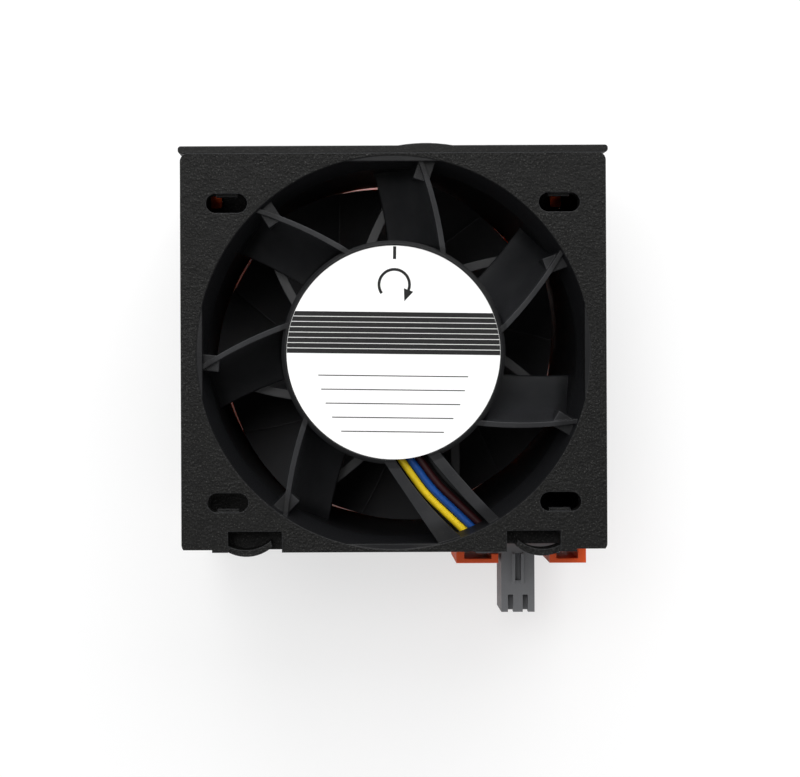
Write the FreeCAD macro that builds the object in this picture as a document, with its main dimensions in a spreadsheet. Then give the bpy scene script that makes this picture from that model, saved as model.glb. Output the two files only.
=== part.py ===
"""Hot-swap server fan module: a 60 mm axial fan with outlet guide vanes in a carrier frame.

Z is the rotor's axis and points out of the outlet side. The module lies on its inlet guard at Z = 0,
the top plate is at +Y and the blind-mate connector hangs at -Y. Lengths are millimetres, angles degrees.
"""
import FreeCAD, Part
import math
import os
import re

import Sketcher

Vector = FreeCAD.Vector
DOC = FreeCAD.newDocument("fan_module")
SHEET = DOC.addObject("Spreadsheet::Sheet", "Size")

SIZES = {
    # Carrier frame: a round duct between two flanges
    "frame_width": 64.0,
    "frame_height": 60.0,
    "frame_depth": 38.0,
    "flange_thick": 2.4,
    "flange_round": 1.2,
    "corner_step": 0.4,
    "corner_reach": 4.6,
    "duct_margin": 1.8,
    "duct_wall": 1.2,
    "inlet_bevel": 1.1,
    "outlet_flare": 1.45,
    "flare_depth": 5.0,
    "flare_wall": 0.25,
    "flat_step": 0.55,
    "rib_offset": 17.5,
    "rib_thick": 1.2,
    "rib_sink": 0.3,
    "lip_thick": 1.2,
    "lip_height": 20.0,
    "lip_inset": 2.5,
    "lip_setback": 0.5,
    # Corner slots, each with a catch tab on its outer side
    "slot_inset_x": 7.0,
    "slot_inset_y": 7.5,
    "slot_length": 6.2,
    "slot_width": 2.9,
    "tab_width": 3.4,
    "tab_margin": 0.05,
    "tab_reach": 0.42,
    "tab_depth": 1.0,
    # Spring fingers moulded on the lower edge of the outlet flange
    "finger_inner": 16.9,
    "finger_root": 2.4,
    "finger_opening": 8.1,
    "finger_window": 3.15,
    "finger_length": 6.6,
    "finger_thick": 0.95,
    "finger_lift": 0.75,
    "finger_bow": 0.31,
    "finger_slant": 0.2,
    "finger_setback": 0.5,
    "finger_depth": 3.2,
    "recess_depth": 4.0,
    "recess_floor": 1.6,
    "recess_wall": 0.45,
    "recess_notch": 0.9,
    # Stator hub and guide vanes
    "hub_radius": 16.9,
    "hub_wall": 1.2,
    "hub_base": 2.0,
    "hub_height": 12.1,
    "hub_setback": 0.4,
    "hub_edge": 0.5,
    "label_radius": 16.1,
    "label_recess": 0.25,
    "label_thick": 0.15,
    "vane_count": 7,
    "vane_angle": 20.07,
    "vane_setback": 0.5,
    "vane_depth": 12.0,
    "vane_thick": 0.9,
    "vane_lean": 8.0,
    "vane_camber": 0.27,
    "vane_root_shift": -3.7,
    "vane_middle_shift": -0.15,
    "vane_tip_shift": 5.98,
    "vane_root_inset": 2.2,
    "vane_middle_inset": 0.85,
    "gusset_length": 2.2,
    "gusset_shift": 3.0,
    "gusset_width": 2.4,
    "gusset_setback": 0.7,
    "gusset_depth": 5.0,
    # Trough that carries the lead wires across the air gap
    "trough_angle": -49.2,
    "trough_shift": -8.07,
    "trough_width": 4.2,
    "trough_wall": 1.65,
    "trough_depth": 5.2,
    "trough_start": 10.8,
    "trough_spread": 2.4,
    "trough_bow": 0.9,
    "trough_side_bow": 0.4,
    # Shelf and bracket that hold the connector under the frame
    "shelf_width": 23.8,
    "shelf_inset": 0.2,
    "shelf_thick": 1.2,
    "shelf_depth": 28.0,
    "bracket_width": 21.0,
    "bracket_inset": 0.3,
    "bracket_back": 6.5,
    "bracket_depth": 12.0,
    "bracket_plate": 1.0,
    "bracket_drop": 4.3,
    "lug_floor": 0.7,
    "lug_outer_wall": 1.3,
    "lug_inner_wall": 1.1,
    "lug_left_width": 6.8,
    "lug_right_width": 5.9,
    "bar_thick": 1.2,
    "clip_width": 4.0,
    "clip_thick": 1.2,
    "clip_barb": 0.5,
    "clip_head": 1.0,
    # Connector
    "plug_inset": 11.0,
    "plug_width": 5.4,
    "plug_depth": 7.4,
    "plug_back": 10.6,
    "plug_drop": 12.3,
    "wing_span": 13.6,
    "wing_thick": 1.7,
    "way_pitch_x": 2.4,
    "way_pitch_z": 1.9,
    "way_rows": 3,
    "way_width": 1.4,
    "way_roof": 3.0,
    "key_slot_width": 0.95,
    "key_slot_length": 4.4,
    "key_slot_depth": 1.05,
    "key_rib": 0.45,
    "low_slot_width": 0.85,
    "low_slot_length": 2.8,
    "contact_wall": 0.2,
    "contact_inset": 3.6,
    # Top plate
    "plate_thick": 1.1,
    "plate_overhang": 0.3,
    "plate_round": 0.45,
    "peg_radius": 0.8,
    "peg_length": 3.0,
    "peg_inset": 6.0,
    "hump_start": 0.8,
    "hump_bevel": 0.2,
    "hump_width": 8.2,
    "hump_rise": 0.35,
    # Inlet guard
    "guard_depth": 2.0,
    "guard_ring_inset": 1.0,
    "guard_ring_pitch": 8.7,
    "guard_ring_width": 1.6,
    "guard_disc_radius": 3.2,
    "guard_arm_width": 2.4,
    "guard_arm_reach": 2.4,
    "hook_inset_x": 3.0,
    "hook_inset_y": 4.8,
    "hook_width": 1.9,
    "hook_thick": 1.4,
    "hook_barb": 0.5,
    "hook_head": 1.0,
    "guard_peg_radius": 0.9,
    "guard_peg_length": 1.6,
    # Impeller
    "inlet_gap": 2.0,
    "rotor_gap": 1.3,
    "tip_gap": 0.5,
    "rotor_radius": 16.9,
    "rotor_wall": 1.2,
    "rotor_floor": 1.3,
    "rotor_bevel": 1.8,
    "blade_count": 7,
    "blade_angle": 36.0,
    "blade_front": 5.5,
    "blade_back": 1.2,
    "blade_thick": 1.5,
    "blade_camber": 0.14,
    "blade_root_inset": 1.3,
    "blade_root_lead": -5.0,
    "blade_root_trail": 5.0,
    "blade_middle_inset": 1.15,
    "blade_middle_lead": -11.6,
    "blade_middle_trail": 2.8,
    "blade_tip_lead": -20.6,
    "blade_tip_trail": -1.0,
    # Motor
    "yoke_wall": 0.8,
    "yoke_setback": 1.6,
    "boss_radius": 3.0,
    "boss_height": 3.2,
    "magnet_thick": 1.6,
    "magnet_inset": 3.45,
    "air_gap": 0.5,
    "core_inset": 2.5,
    "core_rim": 1.3,
    "core_ring": 1.8,
    "pole_count": 4,
    "pole_width": 3.4,
    "pole_gap": 2.4,
    "insulator_thick": 0.6,
    "coil_round": 1.44,
    "coil_thick": 1.6,
    "coil_end_gap": 0.2,
    "shaft_radius": 1.5,
    "shaft_tail": 1.4,
    "bearing_radius": 4.0,
    "bearing_width": 4.0,
    "race_wall": 0.75,
    "shield_thick": 0.3,
    "bush_length": 1.2,
    "bush_wall": 0.7,
    "washer_height": 0.6,
    "washer_land": 0.2,
    "washer_thick": 0.2,
    "ring_thick": 0.4,
    "ring_width": 1.1,
    "ring_groove": 0.35,
    "sleeve_wall": 0.75,
    "sleeve_ridge": 0.6,
    "board_inset": 2.5,
    "board_thick": 1.0,
    "board_radius": 14.9,
    "seat_wall": 1.5,
    # Board parts
    "chip_length": 5.0,
    "chip_width": 4.0,
    "chip_round": 0.2,
    "chip_height": 1.6,
    "chip_shift": 10.0,
    "capacitor_radius": 2.0,
    "capacitor_height": 4.4,
    "capacitor_shift": 11.0,
    "sensor_length": 3.0,
    "sensor_width": 1.6,
    "sensor_height": 0.9,
    # Lead wires
    "wire_radius": 0.575,
    "wire_gap": 0.04,
    "wire_way": 2.2,
    "wire_bend": 2.0,
    "wire_sweep": 20.0,
    "wire_bow": 0.85,
    "wire_bridge": 4.0,
    "wire_crossing": 1.9,
    # Clearances
    "fit_gap": 0.02,
    "running_gap": 0.05,
    "seat_gap": 0.05,
    "snap_gap": 0.15,
}

# Sizes that follow from those above
FOLLOWING = {
    "duct_radius": "min(frame_width;frame_height)/2-duct_margin",
    "slot_pitch_x": "frame_width-2*slot_inset_x",
    "slot_pitch_y": "frame_height-2*slot_inset_y",
    "finger_outer": "finger_inner+finger_opening",
    "finger_free_end": "finger_outer-finger_length",
    "shelf_end": "frame_width/2-shelf_inset",
    "shelf_start": "shelf_end-shelf_width",
    "bracket_right": "frame_width/2-bracket_inset",
    "bracket_left": "bracket_right-bracket_width",
    "plug_centre": "bracket_right-plug_inset",
    "peg_spacing": "frame_width-2*peg_inset",
    "guard_ring_radius": "duct_radius-guard_ring_inset",
    "hook_x": "frame_width/2-hook_inset_x",
    "hook_y": "frame_height/2-hook_inset_y",
}

INLET = "guard_depth"
OUTLET = "(guard_depth+frame_depth)"
FLANGE_BACK = f"({OUTLET}-flange_thick)"
SIDE = "(frame_width/2)"
EDGE = "(frame_height/2)"
FLARE_START = f"({OUTLET}-flare_depth)"
MOUTH = "(duct_radius+outlet_flare)"
MOUTH_OUTER = f"({MOUTH}+flare_wall)"
MOUTH_MID = f"({MOUTH}+flare_wall/2)"
HUB_TOP = f"({OUTLET}-hub_setback)"
HUB_END = f"({HUB_TOP}-hub_height)"
HUB_MID = "(hub_radius-hub_wall/2)"
VANE_TOP = f"({OUTLET}-vane_setback)"
VANE_END = f"({OUTLET}-vane_depth)"
TROUGH_FLOOR = f"({OUTLET}-trough_depth)"
TROUGH_LOW = "(trough_shift-trough_width/2)"
TROUGH_HIGH = "(trough_shift+trough_width/2)"
ROTOR_FRONT = f"({INLET}+inlet_gap)"
ROTOR_REAR = f"({HUB_END}-rotor_gap)"
YOKE_RADIUS = "(rotor_radius-rotor_wall-fit_gap)"
YOKE_BORE = f"({YOKE_RADIUS}-yoke_wall)"
YOKE_FRONT = f"({ROTOR_FRONT}+rotor_floor)"
YOKE_REAR = f"({ROTOR_REAR}-yoke_setback)"
BOSS_TOP = f"({YOKE_FRONT}+boss_height)"
MAGNET_RADIUS = f"({YOKE_BORE}-fit_gap)"
MAGNET_BORE = f"({MAGNET_RADIUS}-magnet_thick)"
MAGNET_REAR = f"({YOKE_REAR}-seat_gap)"
CORE_RADIUS = f"({MAGNET_BORE}-air_gap)"
MAGNET_FRONT = f"({YOKE_FRONT}+yoke_wall+magnet_inset)"
CORE_FRONT = f"({MAGNET_FRONT}+core_inset)"
CORE_REAR = f"({MAGNET_REAR}-core_inset)"
CORE_HEIGHT = f"({CORE_REAR}-{CORE_FRONT})"
BEARING_FRONT = f"({BOSS_TOP}+bush_length+washer_height)"
SLEEVE_RADIUS = "(bearing_radius+sleeve_wall)"
SLEEVE_TOP = f"({HUB_TOP}-label_recess)"
SHAFT_END = f"({SLEEVE_TOP}-shaft_tail)"
RING_FRONT = f"({SHAFT_END}-2*ring_thick)"
BEARING_REAR = f"({RING_FRONT}-bearing_width)"
BOARD_TOP = f"({HUB_END}+board_inset)"
BOARD_UNDER = f"({BOARD_TOP}-board_thick)"
SHELF_TOP = f"(-{EDGE}+shelf_thick)"
LUG_BOTTOM = f"(-{EDGE}-bracket_drop)"
PLATE_UNDER = f"(-{EDGE}-bracket_plate)"
WING_TOP = f"({PLATE_UNDER}-seat_gap)"
WING_UNDER = f"({WING_TOP}-wing_thick)"
RAIL_TOP = f"({WING_UNDER}-seat_gap)"
BRACKET_BACK = f"({INLET}+bracket_back)"
PLUG_TOP = WING_TOP
PLUG_BACK = f"({INLET}+plug_back)"
PLUG_FRONT = f"({PLUG_BACK}+plug_depth)"
PLUG_MID = f"({PLUG_BACK}+plug_depth/2)"
PLUG_BOTTOM = f"(-{EDGE}-plug_drop)"
LEFT_RAIL = "(bracket_left+lug_left_width)"
RIGHT_RAIL = "(bracket_right-lug_right_width)"

WORD = re.compile(r"[a-z_][a-z0-9_]*")


# Sheet and expressions


def fill_sheet():
    """Write every size into the sheet, with its name beside it and as its alias."""
    cells = {name: str(value) for name, value in SIZES.items()}
    cells.update((name, f"={text}") for name, text in FOLLOWING.items())
    for row, (name, content) in enumerate(cells.items(), start=1):
        SHEET.set(f"A{row}", name)
        SHEET.set(f"B{row}", content)
        SHEET.setAlias(f"B{row}", name)
    DOC.recompute()


def tied(text):
    """The expression with each size's name led by the sheet's."""
    names = SIZES.keys() | FOLLOWING.keys()
    return WORD.sub(lambda word: f"Size.{word.group()}" if word.group() in names else word.group(), text)


def number(text):
    """The expression's value with the sheet's present sizes."""
    return float(SHEET.evalExpression(text))


def bind(target, prop, text):
    target.setExpression(prop, tied(text))


# Sketches


def box_loop(x_low, y_low, x_high, y_high):
    return [(x_low, y_low), (x_high, y_low), (x_high, y_high), (x_low, y_high)]


def round_box(x_low, y_low, x_high, y_high, corner):
    """A rectangle with round corners."""
    bulge = "tan(22.5)"
    return [
        (f"{x_low}+{corner}", y_low),
        (f"{x_high}-{corner}", y_low, bulge),
        (x_high, f"{y_low}+{corner}"),
        (x_high, f"{y_high}-{corner}", bulge),
        (f"{x_high}-{corner}", y_high),
        (f"{x_low}+{corner}", y_high, bulge),
        (x_low, f"{y_high}-{corner}"),
        (x_low, f"{y_low}+{corner}", bulge),
    ]


def circle(x_centre, y_centre, radius):
    return ("circle", x_centre, y_centre, radius)


def ring_loops(inner, outer):
    return [circle("0", "0", outer), circle("0", "0", inner)]


def fix(sketch, kind, geometry, position, text):
    """Hold a point's distance from the sketch's origin along one axis at the expression's value."""
    value = number(text)
    index = sketch.addConstraint(Sketcher.Constraint(kind, -1, 1, geometry, position, value))
    bind(sketch, f"Constraints[{index}]", text)


def add_circle(sketch, x_text, y_text, radius):
    centre = Vector(number(x_text), number(y_text), 0)
    index = sketch.addGeometry(Part.Circle(centre, Vector(0, 0, 1), number(radius)), False)
    fix(sketch, "DistanceX", index, 3, x_text)
    fix(sketch, "DistanceY", index, 3, y_text)
    bound = sketch.addConstraint(Sketcher.Constraint("Radius", index, number(radius)))
    bind(sketch, f"Constraints[{bound}]", radius)


def add_loop(sketch, loop):
    """A closed loop of points (x, y). A third item is the bulge of the arc from there to the next point:
    the tangent of a quarter of its angle, positive where the arc turns left."""
    points = [Vector(number(point[0]), number(point[1]), 0) for point in loop]
    ends = []
    for place, point in enumerate(loop):
        start = points[place]
        stop = points[(place + 1) % len(loop)]
        if len(point) == 2:
            index = sketch.addGeometry(Part.LineSegment(start, stop), False)
            ends.append((index, 1, 2))
            continue
        x_text, y_text, bulge = point
        x_next, y_next = loop[(place + 1) % len(loop)][:2]
        reach = f"((1-({bulge})^2)/(4*({bulge})))"
        centre_x = f"(({x_text})+({x_next}))/2-{reach}*(({y_next})-({y_text}))"
        centre_y = f"(({y_text})+({y_next}))/2+{reach}*(({x_next})-({x_text}))"
        centre = Vector(number(centre_x), number(centre_y), 0)
        left = number(bulge) > 0
        first, last = (start, stop) if left else (stop, start)
        from_angle = math.atan2(first.y - centre.y, first.x - centre.x)
        to_angle = math.atan2(last.y - centre.y, last.x - centre.x)
        rim = Part.Circle(centre, Vector(0, 0, 1), (start - centre).Length)
        index = sketch.addGeometry(Part.ArcOfCircle(rim, from_angle, to_angle), False)
        ends.append((index, 1, 2) if left else (index, 2, 1))
        if abs(stop.x - start.x) < abs(stop.y - start.y):
            fix(sketch, "DistanceX", index, 3, centre_x)
        else:
            fix(sketch, "DistanceY", index, 3, centre_y)
    for place, (index, start_end, stop_end) in enumerate(ends):
        after, after_start, _ = ends[(place + 1) % len(ends)]
        sketch.addConstraint(Sketcher.Constraint("Coincident", index, stop_end, after, after_start))
        fix(sketch, "DistanceX", index, start_end, loop[place][0])
        fix(sketch, "DistanceY", index, start_end, loop[place][1])


def draw(body, name, plane, loops, lift="0", turn="0"):
    """A sketch on one of the body's own origin planes, lifted along and turned about the plane's normal."""
    sketch = body.newObject("Sketcher::SketchObject", name)
    sketch.AttachmentSupport = [(origin_part(body, plane), "")]
    sketch.MapMode = "FlatFace"
    sketch.AttachmentOffset = FreeCAD.Placement(Vector(), FreeCAD.Rotation(Vector(0, 0, 1), number(turn)))
    bind(sketch, "AttachmentOffset.Base.z", lift)
    bind(sketch, "AttachmentOffset.Rotation.Angle", turn)
    fill_sketch(sketch, loops)
    return sketch


def draw_radial(body, name, angle, radius, loops):
    """A sketch square to a radius of the rotor's axis: its x runs round the axis and its y along it."""
    sketch = body.newObject("Sketcher::SketchObject", name)
    sketch.AttachmentSupport = [(origin_part(body, "YZ_Plane"), "")]
    sketch.MapMode = "FlatFace"
    sketch.AttachmentOffset = FreeCAD.Placement(Vector(), FreeCAD.Rotation(Vector(0, 1, 0), number(angle)))
    bind(sketch, "AttachmentOffset.Base.x", f"{radius}*sin({angle})")
    bind(sketch, "AttachmentOffset.Base.z", f"{radius}*cos({angle})")
    bind(sketch, "AttachmentOffset.Rotation.Angle", angle)
    fill_sketch(sketch, loops)
    return sketch


def fill_sketch(sketch, loops):
    for loop in loops:
        if loop[0] == "circle":
            add_circle(sketch, *loop[1:])
        else:
            add_loop(sketch, loop)


def origin_part(body, role):
    return next(item for item in body.Origin.OriginFeatures if item.Role == role)


# Features


def new_body(label):
    body = DOC.addObject("PartDesign::Body", label)
    body.Label = label
    body.AllowCompound = True
    return body


def pad(body, name, sketch, length, reverse=False):
    feature = body.newObject("PartDesign::Pad", name)
    feature.Profile = sketch
    feature.Reversed = reverse
    bind(feature, "Length", length)
    return feature


def pocket(body, name, sketch, length, reverse=False):
    feature = body.newObject("PartDesign::Pocket", name)
    feature.Profile = sketch
    feature.Reversed = reverse
    bind(feature, "Length", length)
    return must_cut(body, feature)


def revolve(body, name, loops):
    feature = body.newObject("PartDesign::Revolution", name)
    feature.Profile = draw(body, f"{name}_profile", "XZ_Plane", loops)
    feature.ReferenceAxis = (feature.Profile[0], ["V_Axis"])
    feature.Angle = 360
    return feature


def groove(body, name, loops):
    feature = body.newObject("PartDesign::Groove", name)
    feature.Profile = draw(body, f"{name}_profile", "XZ_Plane", loops)
    feature.ReferenceAxis = (feature.Profile[0], ["V_Axis"])
    feature.Angle = 360
    return must_cut(body, feature)


def must_cut(body, feature):
    """Recompute, and stop if the cut took nothing away."""
    DOC.recompute()
    if feature.Shape.isNull() or feature.Shape.Volume >= feature.BaseFeature.Shape.Volume:
        raise ValueError(f"{feature.Label} of {body.Label} cuts nothing")
    return feature


def loft(body, name, sketches):
    feature = body.newObject("PartDesign::AdditiveLoft", name)
    feature.Profile = sketches[0]
    feature.Sections = sketches[1:]
    return feature


def spread(body, name, features, count):
    """Copies of the features, evenly spaced round the rotor's axis."""
    DOC.recompute()
    pattern = body.newObject("PartDesign::PolarPattern", name)
    pattern.Originals = features
    pattern.Axis = (origin_part(body, "Z_Axis"), [""])
    pattern.Angle = 360
    bind(pattern, "Occurrences", count)
    body.Tip = pattern
    DOC.recompute()
    return pattern


def turned(label, loop):
    """A piece turned about the rotor's axis from one profile of (radius, height) points."""
    body = new_body(label)
    revolve(body, f"{label}_turn", [loop])
    return body


def both_ways(loop_of):
    """The four loops of a feature that repeats at the frame's corners."""
    return [loop_of(x_side, y_side) for x_side in ("-1", "1") for y_side in ("-1", "1")]


# Frame, vanes and hub in one moulding


def vane_section(shift):
    """A guide vane's section: along the axis at the outlet, leaning against the swirl further in."""
    low, high = VANE_END, VANE_TOP
    return [
        (shift, high, "vane_camber"),
        (f"{shift}+vane_lean", low),
        (f"{shift}+vane_lean+vane_thick", low, "-vane_camber"),
        (f"{shift}+vane_thick", high),
    ]


def add_vanes(body):
    stations = (
        ("root", "(hub_radius-vane_root_inset)"),
        ("middle", "((hub_radius+duct_radius)/2-vane_middle_inset)"),
        ("tip", f"({MOUTH}+duct_wall/2)"),
    )
    sections = [
        draw_radial(body, f"vane_{name}", "vane_angle", radius, [vane_section(f"vane_{name}_shift")])
        for name, radius in stations
    ]
    vane = loft(body, "vane", sections)
    foot = [box_loop("duct_radius-gusset_length", "gusset_shift", MOUTH_OUTER, "gusset_shift+gusset_width")]
    lift = f"{VANE_TOP}-gusset_setback-gusset_depth"
    outline = draw(body, "gusset_outline", "XY_Plane", foot, lift=lift, turn="vane_angle")
    spread(body, "vanes", [vane, pad(body, "gusset", outline, "gusset_depth")], "vane_count")


def bulge_of(bow):
    """The bulge of an arc along the trough that bows out by this much."""
    return f"2*({bow})/({EDGE}-trough_start)"


def trough_outline():
    """The trough with its rails: one rail spreads towards the duct, the other bows."""
    low, high = f"{TROUGH_LOW}-trough_wall", f"{TROUGH_HIGH}+trough_wall"
    return [
        ("trough_start", low),
        (EDGE, f"{low}-trough_spread"),
        (EDGE, high, f"-{bulge_of('trough_side_bow')}"),
        ("trough_start", high),
    ]


def channel_outline():
    """The way between the rails, which bows as the wires do."""
    return [
        ("trough_start", TROUGH_LOW, bulge_of("trough_bow")),
        (EDGE, TROUGH_LOW),
        (EDGE, TROUGH_HIGH, f"-{bulge_of('trough_side_bow')}"),
        ("trough_start", TROUGH_HIGH),
    ]


def add_trough(body):
    low = f"{TROUGH_FLOOR}-trough_wall"
    sketch = draw(body, "trough_outline", "XY_Plane", [trough_outline()], lift=low, turn="trough_angle")
    pad(body, "trough", sketch, f"{VANE_TOP}-({low})")


def hub_profile():
    board_seat = f"({SLEEVE_RADIUS}+seat_wall)"
    bore = f"({SLEEVE_RADIUS}+fit_gap)"
    rim = "(label_radius+seat_gap)"
    return [
        (bore, f"{HUB_TOP}-label_recess"),
        (rim, f"{HUB_TOP}-label_recess"),
        (rim, HUB_TOP),
        ("hub_radius-hub_edge", HUB_TOP),
        ("hub_radius", f"{HUB_TOP}-hub_edge"),
        ("hub_radius", HUB_END),
        ("hub_radius-hub_wall", HUB_END),
        ("hub_radius-hub_wall", f"{HUB_TOP}-hub_base"),
        (board_seat, f"{HUB_TOP}-hub_base"),
        (board_seat, BOARD_TOP),
        (bore, BOARD_TOP),
    ]


def finger_loop(side):
    """A spring finger: a root on the flange's lower edge and a bowed leaf that runs inwards from it."""
    root_end = "(finger_outer+finger_root)"
    lower = f"-{EDGE}"
    upper = f"-{EDGE}+finger_thick"
    bow = f"{side}*finger_bow"
    return [
        (f"{side}*{root_end}", lower),
        (f"{side}*finger_outer", lower, f"-{bow}"),
        (f"{side}*finger_free_end", f"{lower}+finger_lift"),
        (f"{side}*(finger_free_end+finger_slant)", f"{upper}+finger_lift", bow),
        (f"{side}*finger_outer", upper),
        (f"{side}*{root_end}", upper),
    ]


def slot_loop(x_side, y_side, tab):
    """A corner slot, long across the frame, with or without the catch tab in its outer side."""
    x_mid, y_mid = f"{x_side}*slot_pitch_x/2", f"{y_side}*slot_pitch_y/2"
    run = "(slot_length-slot_width)/2"
    inner, outer = f"{y_mid}-{y_side}*slot_width/2", f"{y_mid}+{y_side}*slot_width/2"
    bulge = y_side
    loop = [
        (f"{x_mid}-{run}", inner),
        (f"{x_mid}+{run}", inner, bulge),
        (f"{x_mid}+{run}", outer),
    ]
    if tab:
        edge = f"{outer}-{y_side}*tab_reach"
        half = "min(tab_width/2;(slot_length-slot_width)/2-tab_margin)"
        loop += [
            (f"{x_mid}+{half}", outer),
            (f"{x_mid}+{half}", edge),
            (f"{x_mid}-{half}", edge),
            (f"{x_mid}-{half}", outer),
        ]
    return loop + [(f"{x_mid}-{run}", outer, bulge)]


def hook_loop(x_side, room):
    x_mid = f"{x_side}*hook_x"
    half_x, half_y = f"(hook_width/2+{room})", f"(hook_thick/2+{room})"
    return box_loop(f"{x_mid}-{half_x}", f"hook_y-{half_y}", f"{x_mid}+{half_x}", f"hook_y+{half_y}")


def guard_pegs(room):
    """The pegs of the inlet guard at the two lower corners."""
    return [circle(f"{x_side}*hook_x", "-hook_y", f"guard_peg_radius+{room}") for x_side in ("-1", "1")]


def duct_profile():
    """The duct's wall: bevelled at the inlet, flared into a collar at the outlet."""
    outer = "duct_radius+duct_wall"
    return [
        ("duct_radius", f"{INLET}+inlet_bevel"),
        ("duct_radius+inlet_bevel", INLET),
        (outer, INLET),
        (outer, FLANGE_BACK),
        (MOUTH_OUTER, FLANGE_BACK),
        (MOUTH_OUTER, OUTLET),
        (MOUTH, OUTLET),
        ("duct_radius", FLARE_START),
    ]


def add_flanges(body):
    outline = round_box(f"-{SIDE}", f"-{EDGE}", SIDE, EDGE, "flange_round")
    inlet_hole = "duct_radius+(inlet_bevel+duct_wall)/2"
    for name, lift, hole in (("inlet_flange", INLET, inlet_hole), ("outlet_flange", FLANGE_BACK, MOUTH_MID)):
        face = draw(body, f"{name}_outline", "XY_Plane", [outline, circle("0", "0", hole)], lift=lift)
        pad(body, name, face, "flange_thick")
    inner = "sqrt((duct_radius+duct_wall-rib_sink)^2-(rib_offset-rib_thick/2)^2)"

    def rib(x_side, y_side):
        low, high = f"{y_side}*rib_offset-rib_thick/2", f"{y_side}*rib_offset+rib_thick/2"
        return box_loop(f"{x_side}*{inner}", low, f"{x_side}*{SIDE}", high)

    def lip(x_side, y_side):
        near, far = f"{y_side}*rib_offset", f"{y_side}*({EDGE}-lip_inset)"
        outer = f"({SIDE}-lip_setback)"
        return box_loop(f"{x_side}*({outer}-lip_thick)", near, f"{x_side}*{outer}", far)

    pad(body, "lips", draw(body, "lip_outlines", "XY_Plane", both_ways(lip), lift=INLET), "lip_height")
    sketch = draw(body, "rib_outlines", "XY_Plane", both_ways(rib), lift=INLET)
    pad(body, "ribs", sketch, f"{FLANGE_BACK}-{INLET}")
    step = [
        box_loop(f"{side}*({SIDE}-corner_reach)", f"-{EDGE}-1", f"{side}*({SIDE}+1)", f"-{EDGE}+corner_step")
        for side in ("-1", "1")
    ]
    sketch = draw(body, "corner_step_outlines", "XY_Plane", step, lift=OUTLET)
    pocket(body, "corner_steps", sketch, "frame_depth")


def add_flats(body):
    """A flat on each side of the flared mouth."""
    near, far = "(duct_radius+flat_step)", MOUTH_MID
    half = f"sqrt({MOUTH}^2-{near}^2)"
    flats = [
        box_loop(near, f"-{half}", far, half),
        box_loop(f"-{far}", f"-{half}", f"-{near}", half),
        box_loop(f"-{half}", near, half, far),
        box_loop(f"-{half}", f"-{far}", half, f"-{near}"),
    ]
    pad(body, "flats", draw(body, "flat_outlines", "XY_Plane", flats, lift=FLANGE_BACK), "flange_thick")


def add_corner_slots(body):
    open_part = both_ways(lambda x_side, y_side: slot_loop(x_side, y_side, False))
    sketch = draw(body, "slot_face_outlines", "XY_Plane", open_part, lift=OUTLET)
    pocket(body, "slot_faces", sketch, "tab_depth")
    through = both_ways(lambda x_side, y_side: slot_loop(x_side, y_side, True))
    pocket(body, "slots", draw(body, "slot_outlines", "XY_Plane", through, lift=OUTLET), "flange_thick")
    hooks = [hook_loop(x_side, "snap_gap") for x_side in ("-1", "1")]
    lift = f"{INLET}+flange_thick"
    pocket(body, "hook_slots", draw(body, "hook_slot_outlines", "XY_Plane", hooks, lift=lift), "flange_thick")
    sketch = draw(body, "guard_peg_holes", "XY_Plane", guard_pegs("fit_gap"), lift=INLET)
    pocket(body, "guard_peg_seats", sketch, "guard_peg_length+seat_gap", reverse=True)


def add_fingers(body):
    """Spring fingers, each in front of a recess with a thin floor."""
    trays = [
        box_loop(
            f"{side}*(finger_inner-recess_wall)", f"-{EDGE}+{notch}",
            f"{side}*(finger_outer+recess_wall)", f"-{EDGE}+finger_window+recess_wall",
        )
        for side, notch in (("-1", "0"), ("1", "recess_notch"))
    ]
    lift = f"{OUTLET}-recess_depth-recess_floor"
    sketch = draw(body, "recess_outlines", "XY_Plane", trays, lift=lift)
    pad(body, "recess_trays", sketch, f"{FLANGE_BACK}-({lift})")
    windows = [
        box_loop(f"{side}*finger_inner", f"-{EDGE}-1", f"{side}*finger_outer", f"-{EDGE}+finger_window")
        for side in ("-1", "1")
    ]
    pocket(body, "recesses", draw(body, "window_outlines", "XY_Plane", windows, lift=OUTLET), "recess_depth")
    leaves = [finger_loop(side) for side in ("-1", "1")]
    lift = f"{OUTLET}-finger_setback-finger_depth"
    pad(body, "fingers", draw(body, "finger_outlines", "XY_Plane", leaves, lift=lift), "finger_depth")


def clip_range(side):
    """The two faces across X of the bracket's snap clip on one side of the connector."""
    if side == "left":
        middle = f"(bracket_left+{LEFT_RAIL})/2"
    else:
        middle = f"(bracket_right+{RIGHT_RAIL})/2"
    return f"{middle}-clip_thick/2", f"{middle}+clip_thick/2"


def add_shelf(body):
    outline = [box_loop("shelf_start", f"-{EDGE}", "shelf_end", SHELF_TOP)]
    pad(body, "shelf", draw(body, "shelf_outline", "XY_Plane", outline, lift=INLET), "shelf_depth")
    openings = [window_loop("snap_gap")]
    for side in ("left", "right"):
        near, far = clip_range(side)
        low, high = f"{PLUG_MID}-clip_width/2-snap_gap", f"{PLUG_MID}+clip_width/2+snap_gap"
        openings.append(box_loop(f"{near}-snap_gap", low, f"{far}+snap_gap+clip_barb", high))
    sketch = draw(body, "shelf_openings", "XZ_Plane", openings, lift=EDGE)
    pocket(body, "shelf_cuts", sketch, "shelf_thick")


def window_loop(room):
    """The window that the lead wires drop through to the connector."""
    half = f"((way_rows-1)/2*way_pitch_z+wire_radius+2*snap_gap+{room})"
    return box_loop(f"{LEFT_RAIL}-{room}", f"{PLUG_MID}-{half}", f"{RIGHT_RAIL}+{room}", f"{PLUG_MID}+{half}")


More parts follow.
